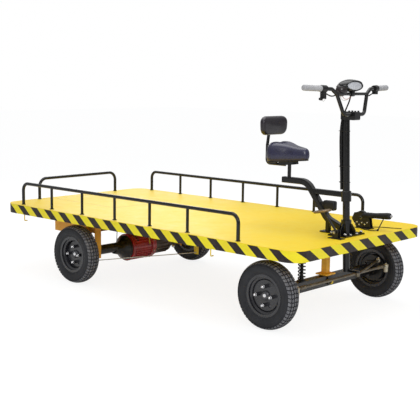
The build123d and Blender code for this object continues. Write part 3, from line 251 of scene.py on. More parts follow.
finish("hub_metal", (84, 84, 88), (62, 62, 66), (40, 38, 36), 0.34, 22, 0.3, metal=0.5)
finish("black_plastic", (15, 15, 17), (22, 22, 24), DUST, 0.4, 12, 0.08, grain=1400, peel=0.25, shine=0.4)
finish("brown_plastic", (40, 30, 30), (26, 20, 22), DUST, 0.24, 22, 0.08, coat=0.3, grain=1400, peel=0.15,
    shine=0.4)
finish("battery_plastic", (26, 27, 30), (36, 36, 40), DUST, 0.55, 6, 0.3)
finish("soft_rubber", (14, 14, 15), (24, 24, 26), DUST, 0.6, 16, 0.18, grain=800, peel=0.3, shine=0.35)
finish("grey_grip", (176, 176, 178), (150, 150, 154), (96, 94, 92), 0.55, 30, 0.5, grain=700, peel=0.3)
finish("cable_grey", (214, 212, 206), (190, 188, 180), (120, 116, 108), 0.5, 24, 0.3, grain=900, peel=0.2)
finish("pedal_rubber", (122, 106, 86), (94, 82, 68), (62, 54, 44), 0.5, 18, 0.4, grain=500, peel=0.4)
finish("pedal_rim", (156, 134, 104), (126, 106, 82), (80, 66, 50), 0.3, 26, 0.3, metal=0.6)
# The saddle cover's blue-violet tint is a painted sheen, standing in for the bluish highlight on its top.
finish("saddle_cover", (32, 32, 56), (44, 44, 76), (66, 68, 92), 0.27, 10, 0.1, coat=0.3, grain=620, peel=0.4)
finish("back_cover", (24, 20, 26), (34, 28, 38), (60, 52, 62), 0.3, 11, 0.1, coat=0.2, grain=620, peel=0.4)
finish("stripe_paint", (240, 226, 36), (236, 216, 44), (170, 150, 60), 0.38, 6, 0.2, shine=0.25)
finish("post_paint", (246, 176, 30), (250, 190, 48), (150, 104, 40), 0.4, 5, 0.25)
finish("lens_glass", (226, 228, 230), (206, 208, 212), (170, 170, 170), 0.14, 60, 0.1, metal=0.2, coat=0.9,
    grain=240, peel=0.6)
finish("lens_facets", (232, 233, 236), (212, 214, 220), (150, 150, 156), 0.12, 70, 0.35, coat=0.8, grain=160,
    peel=0.9)
finish("dial_face", (26, 26, 30), (34, 34, 38), (120, 120, 120), 0.12, 40, 0.1, coat=0.8)
finish("orange_sleeve", (206, 128, 96), (188, 110, 84), (120, 80, 60), 0.45, 40, 0.2)
print("finishes", len(finishes))

# %% [markdown]
# ## The deck's paint
# The sheet is a warm yellow, with a painted sheen that makes it paler towards the rear.
# A thin dark line is drawn round a rectangle on the rear of the deck.
# The sheet stays one piece, and both are worked out from the place on the deck.

# %% Painted deck sheen and a dark line
LINE_BOX_X, LINE_BOX_HALF_X, LINE_BOX_HALF_Y, DARK_LINE_HALF = -1.02, 0.37, 0.3, 0.0022
SHEEN_FRONT, SHEEN_REAR, SHEEN_SHARE = 1.2, -1.5, 0.5
tree = finishes["deck_paint"].node_tree
x, y, z = node(tree, "SeparateXYZ", {0: spot(tree)}).outputs
# Painted sheen: a paler yellow laid over the deck, growing towards the rear.
rearward_sheen = node(tree, "MapRange", {"Value": x, "From Min": SHEEN_FRONT, "From Max": SHEEN_REAR,
    "To Max": SHEEN_SHARE})
over(tree, rearward_sheen.outputs[0], tone(244, 214, 112))
# The dark line: darker yellow where the place is within half the line's width of the rectangle's edge.
past_x = calc(tree, "SUBTRACT", calc(tree, "ABSOLUTE", calc(tree, "SUBTRACT", x, LINE_BOX_X)), LINE_BOX_HALF_X)
past_y = calc(tree, "SUBTRACT", calc(tree, "ABSOLUTE", y), LINE_BOX_HALF_Y)
from_edge = calc(tree, "ABSOLUTE", calc(tree, "MAXIMUM", past_x, past_y))
over(tree, calc(tree, "LESS_THAN", from_edge, DARK_LINE_HALF), tone(150, 118, 40))
print("dark_line_box", LINE_BOX_X, LINE_BOX_HALF_X, LINE_BOX_HALF_Y)

# %% [markdown]
# ## Warning stripes on the skirt
# The black stripes slant down to the right on every side and run round the rounded corners.
# Tape could be laid as strips of mesh, but paint has no thickness, so the material works the pattern out.
# The distance round the skirt comes from the nearest point of an inner rectangle and the angle from it.

# %% Stripes
CORNER_X, CORNER_Y = 1.39, 0.64          # centres of the rounded corners
SIDE_PITCH, END_PITCH = 0.17375, 0.21333  # one black and one yellow stripe
CORNER_TURNS, STRIPE_START = 0.75, -0.355
STRIPE_SHARE, SLANT_SHARE, DECK_TOP, RAGGED = 0.485, 1.2, 0.56, 0.02
tree = finishes["stripe_paint"].node_tree
x, y, z = node(tree, "SeparateXYZ", {0: spot(tree)}).outputs
inner_x = node(tree, "Clamp", {0: x, 1: -CORNER_X, 2: CORNER_X}).outputs[0]
inner_y = node(tree, "Clamp", {0: y, 1: -CORNER_Y, 2: CORNER_Y}).outputs[0]
facing = calc(tree, "ARCTAN2", calc(tree, "SUBTRACT", y, inner_y), calc(tree, "SUBTRACT", x, inner_x))


def folded(half, inner, corner):
    """Goes on in the same sense round the skirt on its far half."""
    back_way = calc(tree, "MULTIPLY_ADD", inner, -2.0, 2 * corner)
    return calc(tree, "ADD", inner, calc(tree, "MULTIPLY", half, back_way))


along_x = folded(calc(tree, "GREATER_THAN", y, 0.0), inner_x, CORNER_X)
along_y = folded(calc(tree, "LESS_THAN", x, 0.0), inner_y, CORNER_Y)
turned_share = calc(tree, "MULTIPLY_ADD", facing, CORNER_TURNS / (math.pi / 2), CORNER_TURNS)
phase = calc(tree, "ADD", calc(tree, "MULTIPLY_ADD", along_x, 1 / SIDE_PITCH, STRIPE_START),
             calc(tree, "MULTIPLY_ADD", along_y, 1 / END_PITCH, turned_share))
drop = calc(tree, "MULTIPLY_ADD", z, SLANT_SHARE / SIDE_PITCH, -SLANT_SHARE * DECK_TOP / SIDE_PITCH)
phase = calc(tree, "ADD", calc(tree, "ADD", phase, drop), calc(tree, "MULTIPLY", noise(tree, 40.0), RAGGED))
black = ramp(tree, noise(tree, 30.0, 6.0), 0.45, tone(40, 33, 32), 0.75, tone(58, 48, 44))
over(tree, calc(tree, "LESS_THAN", calc(tree, "FRACT", phase), STRIPE_SHARE), black)
print("stripes", round(2 * CORNER_X / SIDE_PITCH), "on a side")

# %% Give every node of the construction model its finish
CORNERS = ("front_left", "front_right", "rear_left", "rear_right")
POST_PAINT_END = 0.264      # below this the front post is black, like the beam it turns on
WORN = {
    "deck_paint": "deck_plate",
    "stripe_paint": "skirt_sides skirt_ends",
    "channel_paint": "frame_channels cross_members rear_subframe rear_axle_brackets axle_clamps",
    "post_paint": "front_pivot_bracket",
    "hook_paint": "rope_hooks brake_relay",
    "gloss_black": "side_rails side_rail_posts rear_rail rear_rail_legs steering_column mast_base"
                   " seat_frame handlebar seat_post backrest_bar",
    "axle_paint": "front_axle_beam rear_axle_left rear_axle_right knuckle_left knuckle_right",
    "satin_black": "front_springs front_dampers stem brake_pedal hand_brake_bracket hand_brake_lever head_lamp",
    "motor_paint": "drive_motor",
    "gearcase_metal": "gearcase",
    "cable_grey": "brake_rods motor_cable",
    "rod_steel": "tie_rod drag_link",
    "black_plastic": "switch_pods control_box cable_bundle",
    "grey_grip": "grips",
    "battery_plastic": "battery",
    "pedal_rubber": "pedal_pad",
    "saddle_cover": "saddle",
    "back_cover": "backrest_pad",
    "lens_glass": "lamp_lens",
    "tyre_rubber": " ".join("tyre_" + c for c in CORNERS),
    "rim_black": " ".join("rim_" + c for c in CORNERS),
    "hub_metal": " ".join("hub_" + c for c in CORNERS),
}
for paint, names in WORN.items():
    for name in names.split():
        slots = nodes[name].data.materials
        slots.clear()
        slots.append(finishes[paint])
tree = finishes["post_paint"].node_tree
height = node(tree, "SeparateXYZ", {0: spot(tree)}).outputs[2]
over(tree, calc(tree, "LESS_THAN", height, POST_PAINT_END), tone(14, 13, 13))
print("bare nodes", [n for n, o in nodes.items() if not o.data.materials])

# %% [markdown]
# ## Helpers for making pieces by hand
# A new piece starts from a primitive, and is then shaped in edit mode.
# Round pieces are drawn as half a cross section, point by point, and spun about their axis.
# Cross sections are written in millimetres, and places in metres.

# %% Hand tools
MM = 0.001
WELD = 0.00002


def put_down():
    """Leaves edit mode and selects nothing."""
    if bpy.context.object and bpy.context.object.mode != "OBJECT":
        bpy.ops.object.mode_set(mode="OBJECT")
    bpy.ops.object.select_all(action="DESELECT")


def pick_up(piece):
    """Selects one piece alone."""
    put_down()
    piece.select_set(True)
    bpy.context.view_layer.objects.active = piece


def edit_all(kind="VERT"):
    """Goes into edit mode with everything selected."""
    bpy.ops.object.mode_set(mode="EDIT")
    bpy.ops.mesh.select_mode(type=kind)
    bpy.ops.mesh.select_all(action="SELECT")


def close_edit():
    """Turns the selected faces outward and leaves edit mode."""
    bpy.ops.mesh.normals_make_consistent(inside=False)
    bpy.ops.object.mode_set(mode="OBJECT")


def named(name):
    """Names the piece in hand."""
    piece = bpy.context.object
    piece.name = piece.data.name = name
    return piece


def shaped(name, add, **settings):
    """Adds a primitive and names it."""
    put_down()
    add(**settings)
    return named(name)


def done(piece, paint, body, smooth_angle=35):
    """Applies the piece's place, shades it, paints it and lets it ride."""
    pick_up(piece)
    bpy.ops.object.transform_apply(location=True, rotation=True, scale=True)
    bpy.ops.object.shade_smooth_by_angle(angle=math.radians(smooth_angle))
    if paint:
        piece.data.materials.clear()
        piece.data.materials.append(finishes[paint])
    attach(piece, body)
    piece.select_set(False)
    return piece


# %% Lathe, block and skin
def lathe(name, outline, steps, place=(0, 0, 0), axis="Z"):
    """Half a cross section, (radius, distance along the axis) in mm, drawn point by point and spun."""
    out, along = Vector((1, 0, 0)), Vector((0, 0, 1))
    if axis == "Y":
        out, along = Vector((0, 0, 1)), Vector((0, 1, 0))
    spots = [Vector(place) + out * (r * MM) + along * (a * MM) for r, a in outline]
    piece = shaped(name, bpy.ops.mesh.primitive_plane_add, size=0.001, location=spots[0])
    piece.location = (0, 0, 0)
    edit_all()
    bpy.ops.mesh.merge(type="CENTER")
    bpy.ops.transform.translate(value=spots[0])
    for here, there in zip(spots, spots[1:]):
        bpy.ops.mesh.extrude_region_move(TRANSFORM_OT_translate={"value": there - here})
    bpy.ops.mesh.select_all(action="SELECT")
    bpy.ops.mesh.spin(steps=steps, angle=2 * math.pi, center=place, axis=along)
    bpy.ops.mesh.select_all(action="SELECT")
    bpy.ops.mesh.remove_doubles(threshold=WELD)
    close_edit()
    return piece


def aimed(piece, start, end):
    """Turns a piece made along +Z at the origin, so that it runs from one point towards another."""
    way = Vector(end) - Vector(start)
    piece.data.transform(Matrix.Translation(start) @ way.to_track_quat("Z", "X").to_matrix().to_4x4())
    return piece


def block(name, place, size, bevel, segments=2):
    """A box with rounded edges."""
    piece = shaped(name, bpy.ops.mesh.primitive_cube_add, size=1.0, location=place, scale=size)
    bpy.ops.object.transform_apply(location=True, rotation=False, scale=True)
    edit_all()
    bpy.ops.mesh.bevel(offset=bevel, segments=segments, affect="EDGES")
    bpy.ops.object.mode_set(mode="OBJECT")
    return piece


def skin(name, rings, capped=False):
    """Faces between rings that have the same number of points."""
    count = len(rings[0])
    points = [p for ring in rings for p in ring]
    faces = [(a + i, a + (i + 1) % count, a + count + (i + 1) % count, a + count + i)
             for a in range(0, len(points) - count, count) for i in range(count)]
    if capped:
        faces += [tuple(range(count)), tuple(range(len(points) - count, len(points)))]
    mesh = bpy.data.meshes.new(name)
    mesh.from_pydata(points, [], faces)
    piece = bpy.data.objects.new(name, mesh)
    bpy.context.scene.collection.objects.link(piece)
    pick_up(piece)
    return piece


# %% Copies and joins
def copied(piece, name, shift=(0, 0, 0), turn=None):
    """A copy with its own mesh, moved, and mirrored or turned if asked."""
    twin = piece.copy()
    twin.data = piece.data.copy()
    twin.name = twin.data.name = name
    bpy.context.scene.collection.objects.link(twin)
    twin.data.transform(Matrix.Translation(shift) @ (turn or Matrix.Identity(4)))
    return twin


def joined(pieces, name):
    """Joins pieces into one."""
    put_down()
    for piece in pieces:
        piece.select_set(True)
    bpy.context.view_layer.objects.active = pieces[0]
    bpy.ops.object.join()
    return named(name)


# %% [markdown]
# ## Tyres with a block tread
# A small pneumatic tyre: a smooth sidewall with two rings, a rounded shoulder and rows of zigzag blocks.
# The cross section is spun and the ground faces are marked in a pattern.
# Then the rows are turned a little against each other, and the marked faces are pushed out.
# One tyre is made at the middle of the cart's axes and copied to the four wheels.

# %% Tyre outline
GROOVE_DEPTH, SHOULDER_RADIUS, TURNED_RADIUS = 0.0055, 0.2008, 0.2015
SIDEWALL = [(126.3, 41.7), (140.3, 41.9), (142.0, 45.5), (146.0, 47.4), (150.0, 48.2), (151.5, 50.6),
    (156.0, 51.9), (162.0, 53.6), (168.0, 55.0), (174.0, 55.8), (181.0, 55.6), (187.0, 54.8), (189.0, 55.9),
    (193.5, 55.4), (195.0, 53.7), (199.0, 52.6)]
TREAD = [(203.5, 50.6), (208.0, 46.4), (211.6, 40.0), (213.8, 34.0), (215.6, 29.6), (217.4, 22.0),
    (218.8, 14.0), (219.3, 8.6), (219.5, 0.0)]
TREAD_ROWS = ("block", "block", "block", "groove", "block", "block", "groove", "block")
half = SIDEWALL + TREAD
tyre_outline = [(r, -a) for r, a in half] + [(r, a) for r, a in reversed(half[:-1])]
PITCH_COUNT, STEPS_PER_PITCH = 52, 4
STEPS = PITCH_COUNT * STEPS_PER_PITCH
tyre = lathe("tyre_tread", tyre_outline + [tyre_outline[0]], STEPS, axis="Y")
print("tyre faces", len(tyre.data.polygons))

# %% Mark the blocks
edges_mm = [a for r, a in TREAD]
for polygon in tyre.data.polygons:
    middle = polygon.center
    radius = math.hypot(middle.x, middle.z)
    side = abs(middle.y) / MM
    if radius < SHOULDER_RADIUS:
        continue
    row = next((i for i in range(len(edges_mm) - 1) if edges_mm[i] >= side >= edges_mm[i + 1]), None)
    if row is None or TREAD_ROWS[row] == "groove":
        continue
    step = int((math.atan2(middle.x, middle.z) + math.pi) / (2 * math.pi) * STEPS)
    shift = 2 if 3 <= row < 6 else 0
    if (step + shift) % STEPS_PER_PITCH != 0:
        polygon.material_index = 1
# The marked blocks take the tread finish, whose light grey is partly a painted highlight.
for paint in ("tyre_rubber", "tread_rubber_painted_highlight"):
    tyre.data.materials.append(finishes[paint])

# %% Turn the rows and push the blocks out
row_turn = {50.6: 0.0, 46.4: 0.35, 40.0: 1.0, 34.0: 0.4, 29.6: -0.3, 22.0: -1.3, 14.0: -0.5, 8.6: 0.3, 0.0: 1.2}
step_angle = 2 * math.pi / STEPS
for vertex in tyre.data.vertices:
    if math.hypot(vertex.co.x, vertex.co.z) > TURNED_RADIUS:
        nearest = min(row_turn, key=lambda m: abs(m - abs(vertex.co.y) / MM))
        vertex.co.rotate(Euler((0, row_turn[nearest] * step_angle, 0)))
bpy.context.view_layer.objects.active = tyre
edit_all("FACE")
bpy.ops.mesh.select_all(action="DESELECT")
tyre.active_material_index = 1
bpy.ops.object.material_slot_select()
bpy.ops.mesh.extrude_region_shrink_fatten(TRANSFORM_OT_shrink_fatten={"value": GROOVE_DEPTH})
bpy.ops.object.mode_set(mode="OBJECT")
reach = max(math.hypot(v.co.x, v.co.z) for v in tyre.data.vertices)
print("tyre radius", round(reach, 4), "half width", round(max(v.co.y for v in tyre.data.vertices), 4))

# %% Put the tyres on
WHEEL_X = {"front": 1.185, "rear": -0.715}
WHEEL_Y = {"front": 0.627, "rear": 0.643}
WHEEL_Z = 0.225


def wheel_place(corner):
    """The middle of a wheel."""
    end, side = corner.split("_")
    return Vector((WHEEL_X[end], WHEEL_Y[end] * (1 if side == "left" else -1), WHEEL_Z))


for corner in CORNERS:
    twin = copied(tyre, "tread_tyre_" + corner, wheel_place(corner))
    done(twin, None, "wheel_" + corner)
    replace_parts(twin, "tyre_" + corner)
bpy.data.objects.remove(tyre)

# %% [markdown]
# ## Wheel nuts and hub caps
# Four nuts with bright domed caps stand round a dull metal hub with a bright six-sided nut in the middle.
# All are turned on the lathe, and six steps give the six sides.

# %% Bright nuts
NUT_CIRCLE, DISC_OUT = 0.061, {"front": 0.02, "rear": 0.004}
DOME_NUT = [(0, 28), (11.2, 28), (11.2, 30.5), (10, 31.5), (9.8, 37), (8.6, 41.6), (5.8, 44.2), (2.8, 45.2),
            (0, 45.5)]
RING = [(25.5, -4), (25.5, 0.6), (23.5, 2.2), (17, 2.2), (15, 0.8), (15, -4)]
PLUG = [(13.5, -3), (13.5, 1.6), (11.5, 3.4), (6, 3.8), (5.6, 4.8), (0, 5.2)]
pattern = lathe("nut_pattern", DOME_NUT, 18, axis="Y")
for corner in CORNERS:
    end, side = corner.split("_")
    out = 1 if side == "left" else -1
    flip = Matrix.Identity(4) if out == 1 else Matrix.Rotation(math.pi, 4, "Z")
    made = []
    for index, (a, b) in enumerate(((1, 0), (-1, 0), (0, 1), (0, -1))):
        seat = wheel_place(corner) + Vector((a * NUT_CIRCLE, out * DISC_OUT[end], b * NUT_CIRCLE))
        made.append(copied(pattern, f"nut_{index}", seat, flip))
    done(joined(made, "nut_caps_" + corner), "bright_chrome", "wheel_" + corner)
bpy.data.objects.remove(pattern)

# %% Hub rings
for corner in CORNERS:
    out = 1 if corner.endswith("left") else -1
    low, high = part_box("hub_" + corner)
    face = high[1] if out == 1 else low[1]
    centre = Vector((wheel_place(corner).x, face, WHEEL_Z))
    for name, outline, steps, paint in (("ring", RING, 36, "hub_metal"), ("plug", PLUG, 6, "bright_chrome")):
        turned = lathe(f"hub_{name}_{corner}", [(r, a * out) for r, a in outline], steps, centre, "Y")
        done(turned, paint, "wheel_" + corner)
print("hub face reaches", round(face, 4))

# %% [markdown]
# ## The saddle and the backrest
# Both are firm moulded foam under a tight shiny cover, so they don't sag or wrinkle.
# Cloth blown up from the solid came out lumpy for such a firm pad.
# Each ring follows the outline in the construction model, drawn in a little where the pad rounds over.

# %% Rings into a padded surface
def swell(value, middle, width):
    """A smooth bump: 1 at the middle, fading out on both sides."""
    return math.exp(-((value - middle) / width) ** 2)


def corner_circles(half_x, half_y, corner, inset=0.0):
    """Circles in the four corners of a rectangle, for ring_points."""
    x, y, ways = half_x - corner, half_y - corner, (1, -1)
    return [(sx * x, sy * y, corner - inset) for sx in ways for sy in ways]


def ring_points(circles, count):
    """The outline round some circles, (x, y, radius), as evenly spaced points."""
    fine = []
    for step in range(720):
        turn = 2 * math.pi * step / 720
        way = Vector((math.cos(turn), math.sin(turn)))
        fine.append(max((Vector((x, y)) + way * r for x, y, r in circles), key=lambda p: p.dot(way)))
    lengths = [0.0]
    for here, there in zip(fine, fine[1:] + fine[:1]):
        lengths.append(lengths[-1] + (there - here).length)
    spaced, index = [], 0
    for step in range(count):
        wanted = lengths[-1] * step / count
        while lengths[index + 1] < wanted:
            index += 1
        share = (wanted - lengths[index]) / max(lengths[index + 1] - lengths[index], 1e-9)
        spaced.append(fine[index].lerp(fine[(index + 1) % len(fine)], share))
    return spaced


def padded_form(name, rings, levels=2):
    """Closes a stack of rings with even faces at both ends and rounds it."""
    pad, count = skin(name, rings), len(rings[0])
    edit_all()
    for end in (0, len(rings) - 1):
        bpy.ops.mesh.select_all(action="DESELECT")
        shell = bmesh.from_edit_mesh(pad.data)
        shell.verts.ensure_lookup_table()
        for index in range(end * count, (end + 1) * count):
            shell.verts[index].select = True
        shell.select_mode = {"VERT"}
        shell.select_flush(True)
        bmesh.update_edit_mesh(pad.data)
        bpy.ops.mesh.fill_grid(span=count // 4)
    bpy.ops.mesh.select_all(action="SELECT")
    close_edit()
    smooth = pad.modifiers.new("rounder", "SUBSURF")
    smooth.levels = smooth.render_levels = levels
    bpy.ops.object.modifier_apply(modifier=smooth.name)
    print(name, "points", len(pad.data.vertices), "faces", len(pad.data.polygons))
    return pad


# %% Saddle
low, high = (Vector(c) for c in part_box("saddle"))
SADDLE_HALF, NOSE_HALF, SADDLE_CORNER, WAIST = 0.128, 0.036, 0.056, 0.16
BONES, CHANNEL, RIDGE, SUNK = 0.005, 0.004, 0.008, 0.004    # how far the top swells and sinks
SADDLE_LENGTH = high.x - low.x
LOW_REAR, LOW_NOSE, HIGH_REAR, HIGH_NOSE = 1.006, 1.036, 1.152, 1.12


def saddle_height(x, share):
    """A height between the saddle's sloping bottom and its sloping top."""
    along = (x - low.x) / SADDLE_LENGTH
    bottom = LOW_REAR + (LOW_NOSE - LOW_REAR) * along
    top = HIGH_REAR + (HIGH_NOSE - HIGH_REAR) * along
    return bottom + (top - bottom) * share


def saddle_outline(inset, nose_inset, count):
    """Points round the saddle; its sides draw in before the nose."""
    rear_x, rear_y = low.x + SADDLE_CORNER, SADDLE_HALF - SADDLE_CORNER
    circles = [(rear_x, side * rear_y, SADDLE_CORNER - inset) for side in (1, -1)]
    circles.append((low.x + SADDLE_LENGTH - NOSE_HALF, 0.0, max(NOSE_HALF - nose_inset, 0.006)))
    return [(x, y * (1.0 - WAIST * swell((x - low.x) / SADDLE_LENGTH, 0.62, 0.17)))
            for x, y in ring_points(circles, count)]


SADDLE_RINGS = ((0.02, 0.034), (0.0, 0.026), (0.02, 0.017), (0.08, 0.009), (0.2, 0.002), (0.36, -0.001),
    (0.54, 0.0), (0.7, 0.003), (0.83, 0.009), (0.925, 0.018), (0.985, 0.03), (1.01, 0.043))
rings = [[(x, y, saddle_height(x, share)) for x, y in saddle_outline(inset, inset * 0.62, 56)]
         for share, inset in SADDLE_RINGS]
saddle_pad = padded_form("saddle_pad", rings)
for vertex in saddle_pad.data.vertices:
    along = (vertex.co.x - low.x) / SADDLE_LENGTH
    top_share = max(0.0, min(1.0, (vertex.co.z - saddle_height(vertex.co.x, 0.55)) / 0.05))
    bones = BONES * swell(along, 0.2, 0.16) * swell(abs(vertex.co.y), 0.05, 0.04)
    channel = CHANNEL * swell(vertex.co.y, 0.0, 0.016) * max(0.0, min(1.0, (0.62 - along) / 0.25))
    ridge = RIDGE * swell(along, 0.3, 0.3)
    vertex.co.z += (bones + ridge - channel - SUNK) * top_share
done(saddle_pad, "saddle_cover", "chassis", 180)
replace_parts(saddle_pad, "saddle")
print("saddle", [round(c, 3) for c in low], [round(c, 3) for c in high])

# %% [markdown]
# ## What the saddle stands on
# Under the cover is a black plastic pan. Its rolled edge is a thin tube that follows one ring of the pad.

# %% Saddle pan
def wire(name, points, radius, paint, body, closed=False):
    """A smooth wire through control points, made a mesh."""
    curve = bpy.data.curves.new(name, "CURVE")
    curve.dimensions = "3D"
    curve.bevel_depth, curve.bevel_resolution, curve.use_fill_caps = radius, 3, True
    spline = curve.splines.new("NURBS")
    spline.points.add(len(points) - 1)
    for point, place in zip(spline.points, points):
        point.co = tuple(place) + (1.0,)
    spline.order_u, spline.resolution_u = 3, 8
    spline.use_cyclic_u, spline.use_endpoint_u = closed, not closed
    piece = bpy.data.objects.new(name, curve)
    bpy.context.scene.collection.objects.link(piece)
    pick_up(piece)
    bpy.ops.object.convert(target="MESH")
    edit_all()
    bpy.ops.mesh.remove_doubles(threshold=WELD)
    close_edit()
    return done(bpy.context.object, paint, body, 60)


edge = [(x, y, saddle_height(x, 0.045)) for x, y in saddle_outline(0.012, 0.008, 40)]
wire("saddle_pan_edge", edge, 0.0045, "black_plastic", "chassis", closed=True)

# %% Backrest
low, high = (Vector(c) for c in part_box("backrest_pad"))
BACK_HALF, BACK_CORNER, BACK_BOW, BACK_CROWN = 0.142, 0.048, 0.014, 0.005
middle_z, half_z = (low.z + high.z) / 2, (high.z - low.z) / 2
front_x, thick = high.x, 0.046
BACK_RINGS = ((0.03, 0.026), (0.0, 0.016), (0.1, 0.006), (0.3, 0.0), (0.62, 0.0), (0.84, 0.005), (0.96, 0.014),
    (1.0, 0.026))
rings = []
for share, inset in BACK_RINGS:
    ring = []
    for y, z in ring_points(corner_circles(BACK_HALF, half_z, BACK_CORNER, inset), 48):
        narrow = 1.0 - 0.07 * (0.5 - z / (2 * half_z))          # a little narrower at the bottom
        y *= narrow
        bowed = BACK_BOW * (1 - (y / BACK_HALF) ** 2)
        ring.append((front_x - thick + thick * share - bowed, y, middle_z + z))
    rings.append(ring)
backrest_cover = padded_form("backrest_cover", rings)
for vertex in backrest_cover.data.vertices:
    crown = swell(vertex.co.y, 0.0, 0.08) * swell(vertex.co.z, middle_z, 0.045)
    if vertex.co.x > front_x - BACK_BOW - 0.012:
        vertex.co.x += BACK_CROWN * crown
done(backrest_cover, "back_cover", "chassis", 180)
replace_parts(backrest_cover, "backrest_pad")

# %% [markdown]
# ## The head lamp and the gauge
# The lamp is a black egg that tapers to the rear, with an oval lens in a recess under a short visor.
# A sphere is stretched, its front is cut off flat by a bisect, and the cut face is inset and pushed in.
# The round gauge sits beside it on the bar and looks at the driver.

# %% Lamp shell
def bolt_head(name, place, way, radius, height, paint):
    """A six-sided head with a chamfer, on a round washer; radius and height in mm."""
    outline = [(0, 1), (0.8, 1), (1, 0.82), (1, 0.22)]
    head = lathe(name, [(r * radius, a * height) for r, a in outline], 6)
    outline = [(1.2, 0.24), (1.3, 0.18), (1.3, 0)]
    washer = lathe(name + "_washer", [(r * radius, a * height) for r, a in outline], 20)
    whole = aimed(joined([head, washer], name), place, Vector(place) + Vector(way))
    return done(whole, paint, "chassis", 30)


LAMP_MIDDLE, LAMP_HALF = Vector((1.33, 0.0, 1.553)), Vector((0.074, 0.118, 0.042))
LAMP_CUT, LAMP_RIM, LAMP_RECESS = 0.046, 0.004, 0.008
VISOR_FROM_X, VISOR_FROM_Z, VISOR_REACH = 0.034, 0.014, 0.008
shell = shaped("lamp_shell", bpy.ops.mesh.primitive_uv_sphere_add, segments=48, ring_count=28, radius=1.0)
for vertex in shell.data.vertices:
    x, y, z = vertex.co
    rear = max(0.0, -x)
    tall = z * LAMP_HALF.z * (1 - 0.22 * rear) - 0.009 * rear
    vertex.co = LAMP_MIDDLE + Vector((x * LAMP_HALF.x, y * LAMP_HALF.y * (1 - 0.1 * rear), tall))
edit_all("FACE")
cut_place, cut_way = LAMP_MIDDLE + Vector((LAMP_CUT, 0.0, 0.0)), Vector((1.0, 0.0, 0.1)).normalized()
bpy.ops.mesh.bisect(plane_co=cut_place, plane_no=cut_way, clear_outer=True, use_fill=True)
bpy.ops.mesh.inset(thickness=LAMP_RIM)
bpy.ops.mesh.extrude_region_move(TRANSFORM_OT_translate={"value": (-LAMP_RECESS, 0.0, 0.0)})
bpy.ops.object.mode_set(mode="OBJECT")
for vertex in shell.data.vertices:        # the visor: the rim's upper edge reaches forward
    ahead, raised = vertex.co.x - LAMP_MIDDLE.x, vertex.co.z - LAMP_MIDDLE.z
    if ahead > VISOR_FROM_X and raised > VISOR_FROM_Z:
        vertex.co.x += VISOR_REACH * min(1.0, (raised - VISOR_FROM_Z) / VISOR_FROM_Z)
done(shell, "gloss_black", "steering", 40)
bracket = block("lamp_bracket", (1.352, 0.0, 1.5085), (0.024, 0.034, 0.031), 0.004)
clamp = lathe("lamp_clamp", [(10.6, -19), (15, -19), (16.5, -16.5), (16.5, 16.5), (15, 19), (10.6, 19)], 28,
    (1.352, 0.0, 1.5), "Y")
done(joined([bracket, clamp], "lamp_bracket"), "satin_black", "steering")
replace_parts(shell, "head_lamp")
print("lamp", [round(c, 3) for c in LAMP_MIDDLE])

# %% Lens with its facets
LENS_MIDDLE, LENS_HALF = LAMP_MIDDLE + Vector((0.038, 0.0, -0.001)), Vector((0.016, 0.085, 0.0295))
lens = shaped("lamp_lens_cover", bpy.ops.mesh.primitive_uv_sphere_add, segments=40, ring_count=20, radius=1.0)
for vertex in lens.data.vertices:
    vertex.co = LENS_MIDDLE + LENS_HALF * vertex.co
edit_all("FACE")
cut_place, cut_way = (LENS_MIDDLE.x - 0.002, 0.0, 0.0), (-1.0, 0.0, 0.0)
bpy.ops.mesh.bisect(plane_co=cut_place, plane_no=cut_way, clear_outer=True, use_fill=True)
bpy.ops.object.mode_set(mode="OBJECT")
tree = finishes["lens_facets"].node_tree
stretched = node(tree, "Mapping", {"Vector": spot(tree), "Scale": (1.0, 1.0, 1.3)}).outputs[0]
cells = node(tree, "TexVoronoi", {"Vector": stretched, "Scale": 95.0, "Randomness": 0.15}).outputs["Distance"]
pitted = node(tree, "Bump", {"Height": cells, "Strength": 0.8, "Distance": 0.004})
tree.links.new(pitted.outputs[0], tree.nodes["Principled BSDF"].inputs["Normal"])
over(tree, cells, tone(150, 152, 160))
done(lens, "lens_facets", "steering", 60)
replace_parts(lens, "lamp_lens")

# %% Gauge beside the lamp
GAUGE_REAR, GAUGE_FRONT = (1.334, -0.092, 1.522), (1.414, -0.108, 1.499)
pod = [(0, 33), (13, 31.5), (26, 25), (36, 13), (40.5, -2), (42, -13), (41, -18), (38, -19.5), (36.3, -16),
    (0, -15)]
gauge = aimed(lathe("gauge_pod", pod, 44), GAUGE_REAR, GAUGE_FRONT)
done(gauge, "brown_plastic", "steering", 40)
face = lathe("gauge_dial", [(36.6, -16.5), (35, -16.8), (0, -17.2)], 44)
done(aimed(face, GAUGE_REAR, GAUGE_FRONT), "dial_face", "steering", 30)
print("gauge", GAUGE_REAR)

# %% [markdown]
# ## Grips, switches and wires
# The grips are grey ribbed sleeves with a round end and a dark collar, turned along Z and aimed along the bar.
# Thin wires leave the gauge and the switches; each is a smooth curve with a round section, made a mesh.

